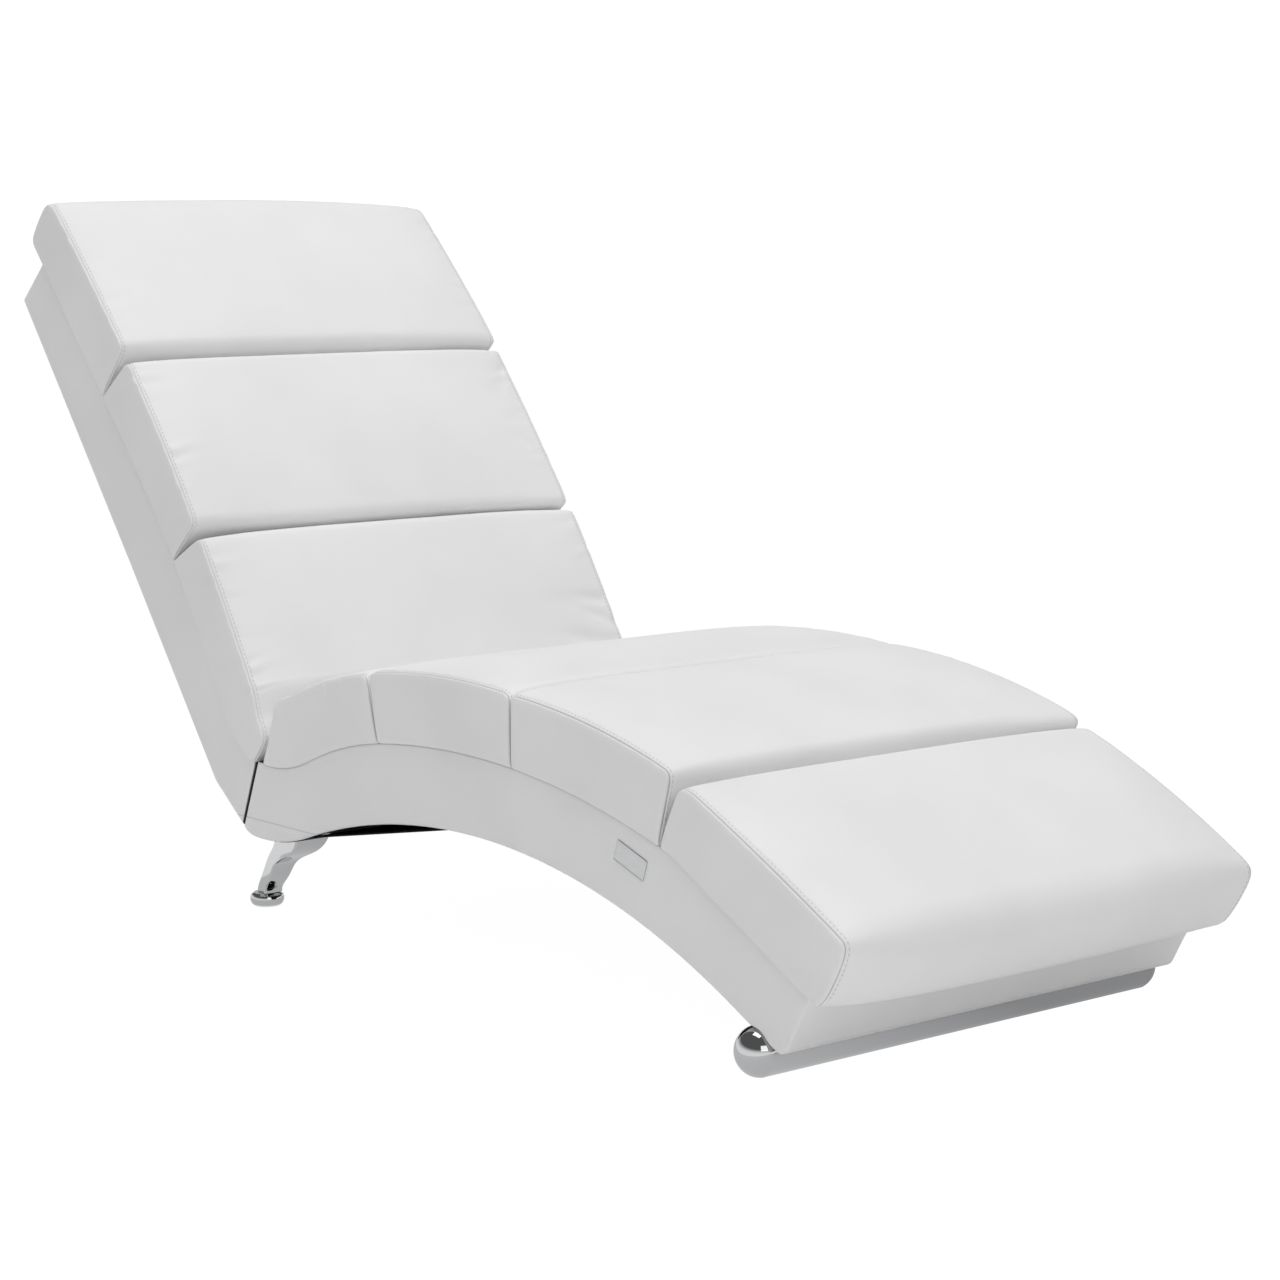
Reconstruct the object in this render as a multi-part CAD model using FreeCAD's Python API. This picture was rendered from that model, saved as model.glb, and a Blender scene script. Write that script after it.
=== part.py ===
import FreeCAD, Part
import math
import os
from FreeCAD import Vector

# Spa relaxation lounger, in millimetres. +X runs from the head to the foot,
# +Y across the seat, +Z up. The floor is Z = 0 and the part is centred on it.
# The side view is drawn along two seam lines, one for the back unit and one
# for the seat unit. A place on them is a distance along and a height off.

# Overall widths and depths
cushion_width = 550.0
cushion_overhang = 4.5
base_width = cushion_width - cushion_overhang * 2
cushion_thickness = 78.0
cover_skin = 3.0
panel_thickness = 18.0
deck_thickness = 5.0
overrun = 40.0

# Joint between the back unit and the seat unit
heel_height = 103.3
joint_lean_degrees = 68.0
joint_seat_depth = 86.0
joint_back_depth = 82.0
joint_gap = 2.0

# Seam line of the seat unit, from the joint to the foot
seat_start_degrees = -8.6
hollow_run = 106.8
hollow_degrees = 32.0
rise_run = 5.5
crest_run = 144.7
crest_degrees = -15.9
thigh_run = 478.1
thigh_degrees = -24.2
knee_run = 27.1
knee_degrees = -10.8
calf_run = 208.3

# Lower edge of the seat unit's side panels, from the heel to the foot
belly_start_degrees = -45.9
heel_run = 21.5
heel_degrees = 41.7
instep_run = 107.5
instep_degrees = 23.6
arch_rise_run = 294.2
arch_rise_degrees = -17.9
arch_fall_run = 457.2
arch_fall_degrees = -27.7
toe_run = 82.0
toe_corner = 13.0

# Seam line of the back unit, from the head to the joint, and its depth behind that
back_start_degrees = -48.7
shoulder_run = 281.0
shoulder_degrees = 1.3
lumbar_run = 363.0
lumbar_degrees = -14.3
tuck_run = 79.0
tuck_degrees = 36.5
tuck_end_run = 12.0
back_depth_top = 73.0
back_depth_bend = 93.5
back_depth_low = 75.5
back_bend_distance = 400.0
back_low_distance = 689.0

# Cushions, by the length of seam line that each one covers
head_cushion_run = 213.0
shoulder_cushion_run = 241.5
hip_cushion_run = 257.0
seat_cushion_run = 239.5
thigh_cushion_run = 238.0
cushion_cover = 3.0
back_crown = 9.0
hip_crown = 5.0
seat_crown = 9.0
thigh_crown = 9.0
leg_crown = 14.0
cushion_corner = 9.0
cushion_low_corner = 3.0
cushion_seam_gap = 0.5
cushion_lift = 0.1
back_flattening = 9.0
shoulder_rear_drop = 2.0
shoulder_front_drop = 11.0
lumbar_rear_drop = 13.0
head_end_drop = 8.0
head_middle_drop = 2.0
leg_rear_drop = 5.0
leg_middle_rise = 1.0
side_rounding = 4.0
back_notch_setback = 9.0
seat_notch_setback = 6.0

# Ends of cushions that face no neighbour
head_overhang = 33.0
head_rake = 7.0
head_swell = 3.0
head_bulge = 5.0
head_low_corner = 10.0
head_top_corner = 24.0
nose_overhang = 29.0
nose_rake = 6.0
nose_swell = 3.0
nose_bulge = 5.0
nose_low_corner = 13.0
lumbar_end_rake = 9.0
lumbar_end_swell = 3.0
lumbar_end_corner = 14.0
hip_end_setback = 14.0
hip_end_rake = 42.0
hip_end_corner = 18.0

# Rails of the two frames
rail_width = 45.0
rail_thickness = 20.0
front_arch_rail_distance = 645.0
rear_arch_rail_distance = 365.0
tube_rail_height = 36.0
joint_rail_start = 31.0
joint_rail_end_gap = 8.0
leg_board_length = 92.0
leg_board_start = 12.0

# Black cloth under the seat
cloth_thickness = 1.5
cloth_edge_inset = 6.5
cloth_start = 45.0
cloth_chord_start = 133.0
cloth_chord_end = 405.0
cloth_end_gap = 12.0
cloth_leg_margin = 4.0

# Round chrome foot at the front
tube_radius = 25.0
tube_wall = 2.0
tube_end_inset = 8.5
tube_seat_depth = 3.0
tube_clearance = 0.3
tube_distance = 932.0
cap_dome = 20.5
cap_rim = 2.0
cap_plug_length = 20.0
cap_plug_wall = 3.0
tube_screw_spacing = 300.0
tube_screw_radius = 3.0
tube_screw_head_radius = 5.0
tube_screw_head = 4.0
tube_screw_length = 34.0
tube_screw_access_radius = 7.0

# Rear chrome legs and their screw-in glides
leg_side_inset = 48.5
leg_top_distance = 49.5
leg_sweep = 71.5
leg_top_length = 50.0
leg_top_width = 47.0
leg_foot_length = 18.0
leg_foot_width = 25.0
leg_edge = 3.0
leg_plate_thickness = 4.0
leg_plate_reach = 10.0
leg_plate_lip = 2.5
leg_disc_gap = 0.3
leg_screw_radius = 2.0
leg_screw_head_radius = 3.5
leg_screw_head = 1.6
leg_screw_length = 16.0
leg_screw_inset = 4.5
leg_screw_spacing = 32.0
glide_set_back = 1.5
glide_set_out = 3.0
glide_radius = 19.8
glide_thickness = 15.0
glide_base_radius = 16.0
glide_swell_height = 8.5
glide_rim_radius = 18.6
glide_rim_height = 13.0
glide_top_radius = 15.5
glide_stud_radius = 3.0
glide_stud_length = 12.0
glide_bore_clearance = 0.1
glide_bore_spare = 1.5
insert_wall = 1.0
insert_length = 9.0

# Fasteners of the frames and of the joint between the units
frame_screw_radius = 2.3
frame_screw_head_radius = 4.5
frame_screw_head = 3.0
frame_screw_length = 50.0
frame_screw_edge = 9.0
bolt_radius = 4.0
bolt_clearance = 0.3
bolt_head_flats = 13.0
bolt_head_height = 5.3
bolt_end_spare = 3.0
bolt_spacing = 340.0
bolt_low_distance = 42.0
bolt_high_distance = 65.0
washer_radius = 10.0
washer_thickness = 1.6
tee_nut_radius = 9.5
tee_nut_flange = 1.5
tee_nut_barrel_radius = 5.5
tee_nut_barrel = 9.0

# Bare label plate on the near side of the seat unit
plate_length = 48.0
plate_height = 22.5
plate_thickness = 1.2
plate_corner = 1.5
plate_distance = 694.0
plate_depth = 31.5
plate_turn_degrees = 4.0

# Shares that shape the crown, the round corners and the rear leg
crown_power_share = 6.0
corner_share = 2.0 - math.sqrt(2.0)
crown_station_shares = (0.95, 0.85, 0.6, 0.2, -0.2, -0.6, -0.85, -0.95)
leg_height_shares = (0.0, 0.08, 0.19, 0.33, 0.46, 0.58, 0.7, 0.84, 1.0)
leg_sweep_shares = (0.0, 0.02, 0.12, 0.245, 0.365, 0.56, 0.79, 0.945, 1.0)
leg_length_shares = (0.0, 0.0, 0.06, 0.06, 0.09, 0.41, 0.75, 0.88, 1.0)
leg_width_shares = (0.0, 0.03, 0.1, 0.2, 0.32, 0.47, 0.66, 0.85, 1.0)

straight_degrees = 0.001
half_cushion = cushion_width / 2
half_base = base_width / 2
half_frame = half_base - cover_skin
half_inside = half_frame - panel_thickness
up = Vector(0, 0, 1)
along_y = Vector(0, 1, 0)


def spot(x, z, y=0.0):
    return Vector(x, y, z)


def along_piece(piece, distance):
    """Place and heading at a distance along one run of a path."""
    x, z, heading, length, turn, _ = piece
    start = math.radians(heading)
    bend = math.radians(turn) / length
    now = start + bend * distance
    if turn == 0:
        return x + distance * math.cos(start), z + distance * math.sin(start), now
    step_x = (math.sin(now) - math.sin(start)) / bend
    step_z = (math.cos(start) - math.cos(now)) / bend
    return x + step_x, z + step_z, now


def lay_path(start, heading, runs):
    """Chain of straight and round runs, each meeting the next without a corner."""
    pieces = []
    x, z = start
    done = 0.0
    for length, turn in runs:
        pieces.append((x, z, heading, length, turn, done))
        x, z = along_piece(pieces[-1], length)[:2]
        heading += turn
        done += length
    return pieces


def path_length(path):
    return path[-1][5] + path[-1][3]


def piece_at(path, distance):
    """Run of the path that holds a distance, and how far into that run it lies."""
    for piece in path:
        if distance <= piece[5] + piece[3]:
            break
    return piece, min(max(distance - piece[5], 0.0), piece[3])


def heading_at(path, distance):
    return along_piece(*piece_at(path, distance))[2]


def direction_at(path, distance):
    heading = heading_at(path, distance)
    return spot(math.cos(heading), math.sin(heading))


def on_path(path, distance, height=0.0, y=0.0):
    """Place at a distance along the path and a height off it. Past the ends it runs straight."""
    piece, inside = piece_at(path, distance)
    past = distance - piece[5] - inside
    x, z, heading = along_piece(piece, inside)
    x += past * math.cos(heading) - height * math.sin(heading)
    z += past * math.sin(heading) + height * math.cos(heading)
    return spot(x, z, y)


def path_edges(path, start, end, height, y=0.0):
    """Lines and arcs that follow the path between two distances, at a height off it."""
    stops = [start]
    for piece in path:
        for stop in (piece[5], piece[5] + piece[3]):
            if stops[-1] < stop < end:
                stops.append(stop)
    stops.append(end)
    edges = []
    for near, far in zip(stops, stops[1:]):
        first = on_path(path, near, height, y)
        last = on_path(path, far, height, y)
        turn = math.degrees(heading_at(path, far) - heading_at(path, near))
        if abs(turn) < straight_degrees:
            edges.append(Part.makeLine(first, last))
        else:
            edges.append(Part.Arc(first, on_path(path, (near + far) / 2, height, y), last).toShape())
    return edges


def joint_spot(distance, gap=0.0, y=0.0):
    """Place up the joint face from the heel, moved off the face into the seat unit."""
    lean = math.radians(joint_lean_degrees)
    x = distance * math.cos(lean) + gap * math.sin(lean)
    z = heel_height + distance * math.sin(lean) - gap * math.cos(lean)
    return spot(x, z, y)


def crossing(place, direction, first, second):
    """Where a line from a place crosses the line through two others, in the side view."""
    run = second - first
    gap = first - place
    cross = direction.x * run.z - direction.z * run.x
    return place + direction * ((gap.x * run.z - gap.z * run.x) / cross)


def wire_of(edges):
    return Part.Wire(Part.sortEdges(edges)[0])


def prism(edges, low_y, high_y):
    """Outline in the side view, made solid between two places across the width."""
    face = Part.Face(wire_of(edges))
    face.translate(Vector(0, low_y, 0))
    return face.extrude(Vector(0, high_y - low_y, 0))


def polygon(points):
    return [Part.makeLine(a, b) for a, b in zip(points, points[1:] + points[:1])]


def path_block(path, rear, front, top, bottom):
    """Board across the inside of the frame, square to the path."""
    corners = [on_path(path, rear, top), on_path(path, front, top),
               on_path(path, front, bottom), on_path(path, rear, bottom)]
    return prism(polygon(corners), -half_inside, half_inside)


def joint_block(low, high, near, far):
    """Board across the inside of the frame, along the joint face."""
    corners = [joint_spot(low, near), joint_spot(high, near), joint_spot(high, far), joint_spot(low, far)]
    return prism(polygon(corners), -half_inside, half_inside)


def rod(centre, direction, radius, length):
    return Part.makeCylinder(radius, length, centre, direction)


def mirrored(shape):
    return shape.mirror(Vector(0, 0, 0), along_y)


def cut_by(shape, tools):
    """Shape with each tool that reaches it taken out."""
    near = [tool for tool in tools if tool.BoundBox.intersect(shape.BoundBox)]
    return shape.cut(near) if near else shape


def corner_arc(first, corner, last):
    """Round corner between two places that lie on its two sides."""
    middle = (first + last) * 0.5
    return Part.Arc(first, corner + (middle - corner) * corner_share, last).toShape()


def rounded_rectangle(centre, length, width, corner):
    half_x, half_y = length / 2, width / 2
    turns = ((1, -1), (1, 1), (-1, 1), (-1, -1))
    edges = []
    for (x, y), (next_x, next_y) in zip(turns, turns[1:] + turns[:1]):
        here = centre + Vector(half_x * x, half_y * y, 0)
        there = centre + Vector(half_x * next_x, half_y * next_y, 0)
        run = (there - here).normalize() * corner
        turn = Vector(run.y, -run.x, 0)
        edges.append(corner_arc(here - turn, here, here + run))
        edges.append(Part.makeLine(here + run, there - run))
    return Part.Wire(edges)


# Where the two seam lines and the lower edge lie
seat_start = joint_spot(joint_seat_depth)
seat_path = lay_path((seat_start.x, seat_start.z), seat_start_degrees, [
    (hollow_run, hollow_degrees), (rise_run, 0.0), (crest_run, crest_degrees),
    (thigh_run, thigh_degrees), (knee_run, knee_degrees), (calf_run, 0.0)])
seat_length = path_length(seat_path)
belly_path = lay_path((0.0, heel_height), belly_start_degrees, [
    (heel_run, heel_degrees), (instep_run, instep_degrees), (arch_rise_run, arch_rise_degrees),
    (arch_fall_run, arch_fall_degrees), (toe_run, 0.0)])
belly_length = path_length(belly_path)
back_runs = [(shoulder_run, shoulder_degrees), (lumbar_run, lumbar_degrees),
             (tuck_run, tuck_degrees), (tuck_end_run, 0.0)]
unplaced_back = lay_path((0.0, 0.0), back_start_degrees, back_runs)
back_length = path_length(unplaced_back)
back_start = joint_spot(joint_back_depth, -joint_gap) - on_path(unplaced_back, back_length)
back_path = lay_path((back_start.x, back_start.z), back_start_degrees, back_runs)

# Axis of the chrome tube, square below its distance on the seam line and resting on the floor
foot_direction = direction_at(seat_path, seat_length)
foot_normal = spot(-foot_direction.z, foot_direction.x)
over_tube = on_path(seat_path, tube_distance)
tube_drop = (over_tube.z - tube_radius) / foot_normal.z
tube_axis = over_tube - foot_normal * tube_drop


def seat_band(inset, low_y, high_y):
    """Everything between the joint face and the foot's face, each moved in by the inset."""
    foot = seat_length - inset
    return prism(polygon([
        joint_spot(-overrun, inset), joint_spot(seat_length, inset),
        on_path(seat_path, foot, seat_length), on_path(seat_path, foot, -joint_seat_depth - overrun)]),
        low_y, high_y)


def seat_region(top, low_y, high_y, inset=0.0):
    """Side shape of the seat unit's base, with its ends drawn in by the inset."""
    toe = on_path(belly_path, belly_length)
    toe_start = on_path(belly_path, belly_length - toe_corner)
    foot_top = on_path(seat_path, seat_length, top)
    toe_end = toe + (foot_top - toe).normalize() * toe_corner
    edges = path_edges(seat_path, 0.0, seat_length, top)
    edges += path_edges(belly_path, 0.0, belly_length - toe_corner, 0.0)
    edges.append(Part.makeLine(joint_spot(0.0), on_path(seat_path, 0.0, top)))
    edges.append(corner_arc(toe_start, toe, toe_end))
    edges.append(Part.makeLine(toe_end, foot_top))
    whole = prism(edges, low_y, high_y)
    return whole.common(seat_band(inset, low_y, high_y)) if inset else whole


def back_region(top, rear_inset, end_inset, low_y, high_y):
    """Side shape of the back unit's base, drawn in from its rear and from its ends."""
    heel = joint_spot(0.0, -joint_gap)
    low_rear = on_path(back_path, back_low_distance, -back_depth_low)
    chamfer = (heel - low_rear).normalize()
    low_rear += spot(-chamfer.z, chamfer.x) * rear_inset
    joint_low = joint_spot(0.0, -joint_gap - end_inset)
    joint_high = joint_spot(joint_back_depth, -joint_gap - end_inset)
    rear_top = on_path(back_path, end_inset, rear_inset - back_depth_top)
    rear_bend = on_path(back_path, back_bend_distance, rear_inset - back_depth_bend)
    rear_low = on_path(back_path, back_low_distance, rear_inset - back_depth_low)
    last = back_length - tuck_end_run
    corners = [
        on_path(back_path, last, top),
        crossing(on_path(back_path, last, top), direction_at(back_path, back_length), joint_low, joint_high),
        crossing(low_rear, chamfer, joint_low, joint_high),
        crossing(low_rear, chamfer, rear_bend, rear_low),
        rear_bend, rear_top, on_path(back_path, end_inset, top)]
    edges = path_edges(back_path, end_inset, last, top)
    edges += [Part.makeLine(a, b) for a, b in zip(corners, corners[1:])]
    return prism(edges, low_y, high_y)


def cushion_end(low, rake, low_corner=cushion_low_corner, top_corner=cushion_corner, swell=0.0, bulge=0.0):
    """End of a cushion: where it starts, its lean, its corners, and how it swells out."""
    return {"low": low, "rake": rake, "low_corner": low_corner, "top_corner": top_corner,
            "swell": swell, "bulge": bulge}


def top_edges(path, start, end, tops, lift, y):
    """Top line of a cushion: level with the path, or one arc through three heights off it."""
    if len(set(tops)) == 1:
        return path_edges(path, start, end, tops[0] + lift, y)
    places = [on_path(path, distance, top + lift, y)
              for distance, top in zip((start, (start + end) / 2, end), tops)]
    return [Part.Arc(*places).toShape()]


def cushion_profile(path, ends, tops, inset, rise, bulge_share, y):
    """Side outline of a cushion: along the seam line, up its ends and along the top."""
    bottom = cushion_lift + inset
    lift = cushion_lift + rise - inset
    seam_ends, rise_ends, edges = [], [], []
    for end, sign, end_top in ((ends[0], -1, tops[0]), (ends[1], 1, tops[2])):
        top = end_top + lift
        low_side, top_side = bottom + end["low_corner"], top - end["top_corner"]
        heights = (bottom, low_side, (low_side + top_side) / 2, top_side, top)
        distances = []
        for height in heights:
            share = (height - bottom) / (top - bottom)
            out = end["bulge"] * bulge_share + end["swell"] * 4 * share * (1 - share) - inset
            distances.append(end["low"] + end["rake"] * share + sign * out)
        low, low_end, middle, top_end, high = [
            on_path(path, distance, height, y) for distance, height in zip(distances, heights)]
        seam_ends.append(distances[0] - sign * end["low_corner"])
        rise_ends.append(distances[-1] - sign * end["top_corner"])
        edges.append(corner_arc(on_path(path, seam_ends[-1], bottom, y), low, low_end))
        edges.append(corner_arc(on_path(path, rise_ends[-1], top, y), high, top_end))
        edges.append(Part.Arc(low_end, middle, top_end).toShape() if end["swell"]
                     else Part.makeLine(low_end, top_end))
    return (edges + path_edges(path, seam_ends[0], seam_ends[1], bottom, y)
            + top_edges(path, rise_ends[0], rise_ends[1], tops, lift, y))


def make_pad(path, ends, tops, crown, inset):
    """Crowned block lofted across its width, with its long edges drawn in."""
    half = half_cushion - inset
    edge = half - side_rounding

    def section(y, drawn_in):
        share = abs(y) / half
        rise = crown * math.sqrt(1 - share ** crown_power_share)
        return wire_of(cushion_profile(path, ends, tops, drawn_in, rise, 1 - share ** 2, y))

    stations = [edge] + [half * share for share in crown_station_shares] + [-edge]
    body = Part.makeLoft([section(y, inset) for y in stations], True, False)
    for side in (1, -1):
        wires = [section(side * edge, inset), section(side * half, inset + side_rounding)]
        body = body.fuse(Part.makeLoft(wires, True, True))
    return body.removeSplitter()


def notch(distance, setback):
    """Two ends that face each other: together at the seam line, apart at the top."""
    return (cushion_end(distance - cushion_seam_gap, -setback),
            cushion_end(distance + cushion_seam_gap, setback))


def frame_screws(places):
    """Countersunk screws that go in through both side panels, across the width."""
    screws = []
    for place in places:
        for side in (1, -1):
            start = Vector(place.x, side * half_frame, place.z)
            inward = along_y * -side
            head = rod(start, inward, frame_screw_head_radius, frame_screw_head)
            shank = rod(start, inward, frame_screw_radius, frame_screw_length)
            screws.append(head.fuse(shank).removeSplitter())
    return screws


def rail_with_screws(path, distance, top, height):
    """Rail across the frame, under the path, and the screws that hold its ends."""
    rear, front = distance - rail_width / 2, distance + rail_width / 2
    middle = top - height / 2
    places = [on_path(path, rear + frame_screw_edge, middle),
              on_path(path, front - frame_screw_edge, middle)]
    return path_block(path, rear, front, top, top - height), frame_screws(places)


nodes = {}

# Cushions and their foam blocks
shoulder_at = head_cushion_run
lumbar_at = shoulder_at + shoulder_cushion_run
seat_at = hip_cushion_run
thigh_at = seat_at + seat_cushion_run
leg_at = thigh_at + thigh_cushion_run
head_end = cushion_end(-head_overhang, -head_rake, head_low_corner, head_top_corner, head_swell, head_bulge)
lumbar_end = cushion_end(back_length - joint_gap, lumbar_end_rake, top_corner=lumbar_end_corner,
                         swell=lumbar_end_swell)
hip_end = cushion_end(hip_end_setback, hip_end_rake, top_corner=hip_end_corner)
nose_end = cushion_end(seat_length + nose_overhang, nose_rake, nose_low_corner, cushion_corner,
                       nose_swell, nose_bulge)
head_notch = notch(shoulder_at, back_notch_setback)
lumbar_notch = notch(lumbar_at, back_notch_setback)
hip_notch = notch(seat_at, seat_notch_setback)
seat_notch = notch(thigh_at, seat_notch_setback)
thigh_notch = notch(leg_at, seat_notch_setback)
full = cushion_thickness
level_tops = (full, full, full)
head_tops = (full - head_end_drop, full - head_middle_drop, full)
shoulder_tops = (full - shoulder_rear_drop, full - back_flattening, full - shoulder_front_drop)
lumbar_tops = (full - lumbar_rear_drop, full - back_flattening, full)
leg_tops = (full - leg_rear_drop, full + leg_middle_rise, full)
for name, path, ends, tops, crown in (
        ("head", back_path, (head_end, head_notch[0]), head_tops, back_crown),
        ("shoulder", back_path, (head_notch[1], lumbar_notch[0]), shoulder_tops, back_crown),
        ("lumbar", back_path, (lumbar_notch[1], lumbar_end), lumbar_tops, back_crown),
        ("hip", seat_path, (hip_end, hip_notch[0]), level_tops, hip_crown),
        ("seat", seat_path, (hip_notch[1], seat_notch[0]), level_tops, seat_crown),
        ("thigh", seat_path, (seat_notch[1], thigh_notch[0]), level_tops, thigh_crown),
        ("leg", seat_path, (thigh_notch[1], nose_end), leg_tops, leg_crown)):
    foam = make_pad(path, ends, tops, crown, cushion_cover)
    nodes[name + "_foam"] = foam
    nodes[name + "_cushion"] = make_pad(path, ends, tops, crown, 0.0).cut(foam)

# Seat frame
seat_face = cover_skin + panel_thickness
tube_space = rod(Vector(tube_axis.x, -base_width, tube_axis.z), along_y,
                 tube_radius + tube_clearance, base_width * 2)
seat_side = seat_region(-deck_thickness, half_inside, half_frame, cover_skin).cut(tube_space)
joint_rail_end = joint_seat_depth - joint_rail_end_gap
seat_rear_rail = joint_block(joint_rail_start, joint_rail_end, cover_skin, seat_face)
rail_middle = cover_skin + panel_thickness / 2
rear_rail_screws = frame_screws([joint_spot(joint_rail_start + frame_screw_edge, rail_middle),
                                 joint_spot(joint_rail_end - frame_screw_edge, rail_middle)])
board_front = seat_length - cover_skin
board_rear = board_front - panel_thickness
board_middle = (board_front + board_rear) / 2
foot_board = path_block(seat_path, board_rear, board_front, -deck_thickness, -joint_seat_depth)
foot_board = foot_board.common(seat_region(-deck_thickness, -half_inside, half_inside)).cut(tube_space)
foot_board_screws = frame_screws([
    on_path(seat_path, board_middle, -deck_thickness - frame_screw_edge),
    on_path(seat_path, board_middle, -joint_seat_depth / 2)])
rear_arch_rail, rear_arch_screws = rail_with_screws(
    seat_path, rear_arch_rail_distance, -deck_thickness, rail_thickness)
front_arch_rail, front_arch_screws = rail_with_screws(
    seat_path, front_arch_rail_distance, -deck_thickness, rail_thickness)
tube_rail_top = tube_radius - tube_drop - tube_seat_depth + tube_rail_height
tube_rail, tube_rail_screws = rail_with_screws(
    seat_path, board_rear - rail_width / 2, tube_rail_top, tube_rail_height)

# Board that carries the rear legs
leg_board_bottom = heel_height + cloth_thickness
leg_board_top = leg_board_bottom + panel_thickness
leg_board_end = leg_board_start + leg_board_length
leg_board_middle = (leg_board_bottom + leg_board_top) / 2
leg_board = prism(polygon([
    spot(leg_board_start, leg_board_bottom), spot(leg_board_end, leg_board_bottom),
    spot(leg_board_end, leg_board_top), spot(leg_board_start, leg_board_top)]), -half_inside, half_inside)
leg_board_screws = frame_screws([spot(leg_top_distance, leg_board_middle),
                                 spot(leg_board_end - frame_screw_edge, leg_board_middle)])

# Joint bolts, their washers and tee nuts
joint_out = (joint_spot(0.0, -joint_gap) - joint_spot(0.0)).normalize()
back_face = joint_gap + seat_face
hexagon_radius = bolt_head_flats / math.sqrt(3)
hexagon_corners = [
    Vector(0, hexagon_radius * math.sin(turn), hexagon_radius * math.cos(turn))
    for turn in map(math.radians, range(0, 361, 60))]
bolts, washers, tee_nuts, bolt_holes, nut_holes = [], [], [], [], []
for distance in (bolt_low_distance, bolt_high_distance):
    for y in (-bolt_spacing / 2, bolt_spacing / 2):
        head_seat = joint_spot(distance, seat_face, y) - joint_out * washer_thickness
        head = Part.Face(Part.makePolygon(hexagon_corners)).extrude(Vector(bolt_head_height, 0, 0))
        head.rotate(Vector(0, 0, 0), along_y, 90.0 - joint_lean_degrees)
        head.translate(head_seat)
        shank_length = washer_thickness + seat_face + back_face + bolt_end_spare
        shank = rod(head_seat, joint_out, bolt_radius, shank_length)
        hole = rod(head_seat, joint_out, bolt_radius + bolt_clearance, shank_length)
        bolts.append(head.fuse(shank).removeSplitter())
        washers.append(rod(head_seat, joint_out, washer_radius, washer_thickness).cut(hole))
        nut_seat = joint_spot(distance, -back_face, y)
        flange = rod(nut_seat, joint_out, tee_nut_radius, tee_nut_flange)
        barrel = rod(nut_seat - joint_out * tee_nut_barrel, joint_out, tee_nut_barrel_radius, tee_nut_barrel)
        tee_nuts.append(flange.fuse(barrel).removeSplitter().cut(shank))
        bolt_holes.append(hole)
        nut_holes.append(barrel)

seat_screws = (rear_rail_screws + foot_board_screws + rear_arch_screws + front_arch_screws
               + tube_rail_screws + leg_board_screws)
nodes["seat_side_panel_far"] = cut_by(seat_side, seat_screws)
nodes["seat_side_panel_near"] = cut_by(mirrored(seat_side), seat_screws)
nodes["seat_rear_rail"] = cut_by(seat_rear_rail, seat_screws + bolt_holes)
nodes["foot_board"] = cut_by(foot_board, seat_screws)
nodes["rear_arch_rail"] = cut_by(rear_arch_rail, seat_screws)
nodes["front_arch_rail"] = cut_by(front_arch_rail, seat_screws)
nodes["seat_deck"] = seat_region(0.0, -half_frame, half_frame, cover_skin).cut(
    seat_region(-deck_thickness, -half_frame, half_frame, cover_skin))
seat_cover = seat_region(0.0, -half_base, half_base).cut(seat_band(cover_skin, -half_frame, half_frame))
nodes["seat_base_cover"] = cut_by(seat_cover.cut(tube_space), bolt_holes)
nodes["seat_frame_screws"] = Part.makeCompound(seat_screws)
nodes["joint_bolts"] = Part.makeCompound(bolts)
nodes["joint_washers"] = Part.makeCompound(washers)
nodes["joint_tee_nuts"] = Part.makeCompound(tee_nuts)

# Chrome tube, held up to its rail by screws from inside
half_tube = half_base - tube_end_inset
tube_length = half_tube * 2
bore_radius = tube_radius - tube_wall
tube_start = Vector(tube_axis.x, -half_tube, tube_axis.z)
foot_tube = rod(tube_start, along_y, tube_radius, tube_length).cut(
    rod(tube_start, along_y, bore_radius, tube_length))
head_reach = math.sqrt(bore_radius ** 2 - tube_screw_head_radius ** 2)
tube_screws = []
for y in (-tube_screw_spacing / 2, tube_screw_spacing / 2):
    centre = Vector(tube_axis.x, y, tube_axis.z)
    head_top = centre + foot_normal * head_reach
    head = rod(head_top, foot_normal * -1, tube_screw_head_radius, tube_screw_head)
    shank = rod(head_top, foot_normal, tube_screw_radius, tube_screw_length)
    tube_screws.append(head.fuse(shank).removeSplitter())
    foot_tube = foot_tube.cut(rod(centre, foot_normal * -1, tube_screw_access_radius, tube_radius * 2))
nodes["foot_tube"] = cut_by(foot_tube, tube_screws)
nodes["foot_tube_screws"] = Part.makeCompound(tube_screws)
nodes["tube_rail"] = cut_by(tube_rail.cut(tube_space), seat_screws + tube_screws)


def turned(places, arc, axis, centre):
    """Solid of revolution from a closed outline of straight runs and one arc."""
    edges = [Part.makeLine(a, b) for a, b in zip(places, places[1:])] + [arc]
    solid = Part.Face(wire_of(edges)).revolve(Vector(0, 0, 0), axis, 360)
    solid.translate(centre)
    return solid


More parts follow.
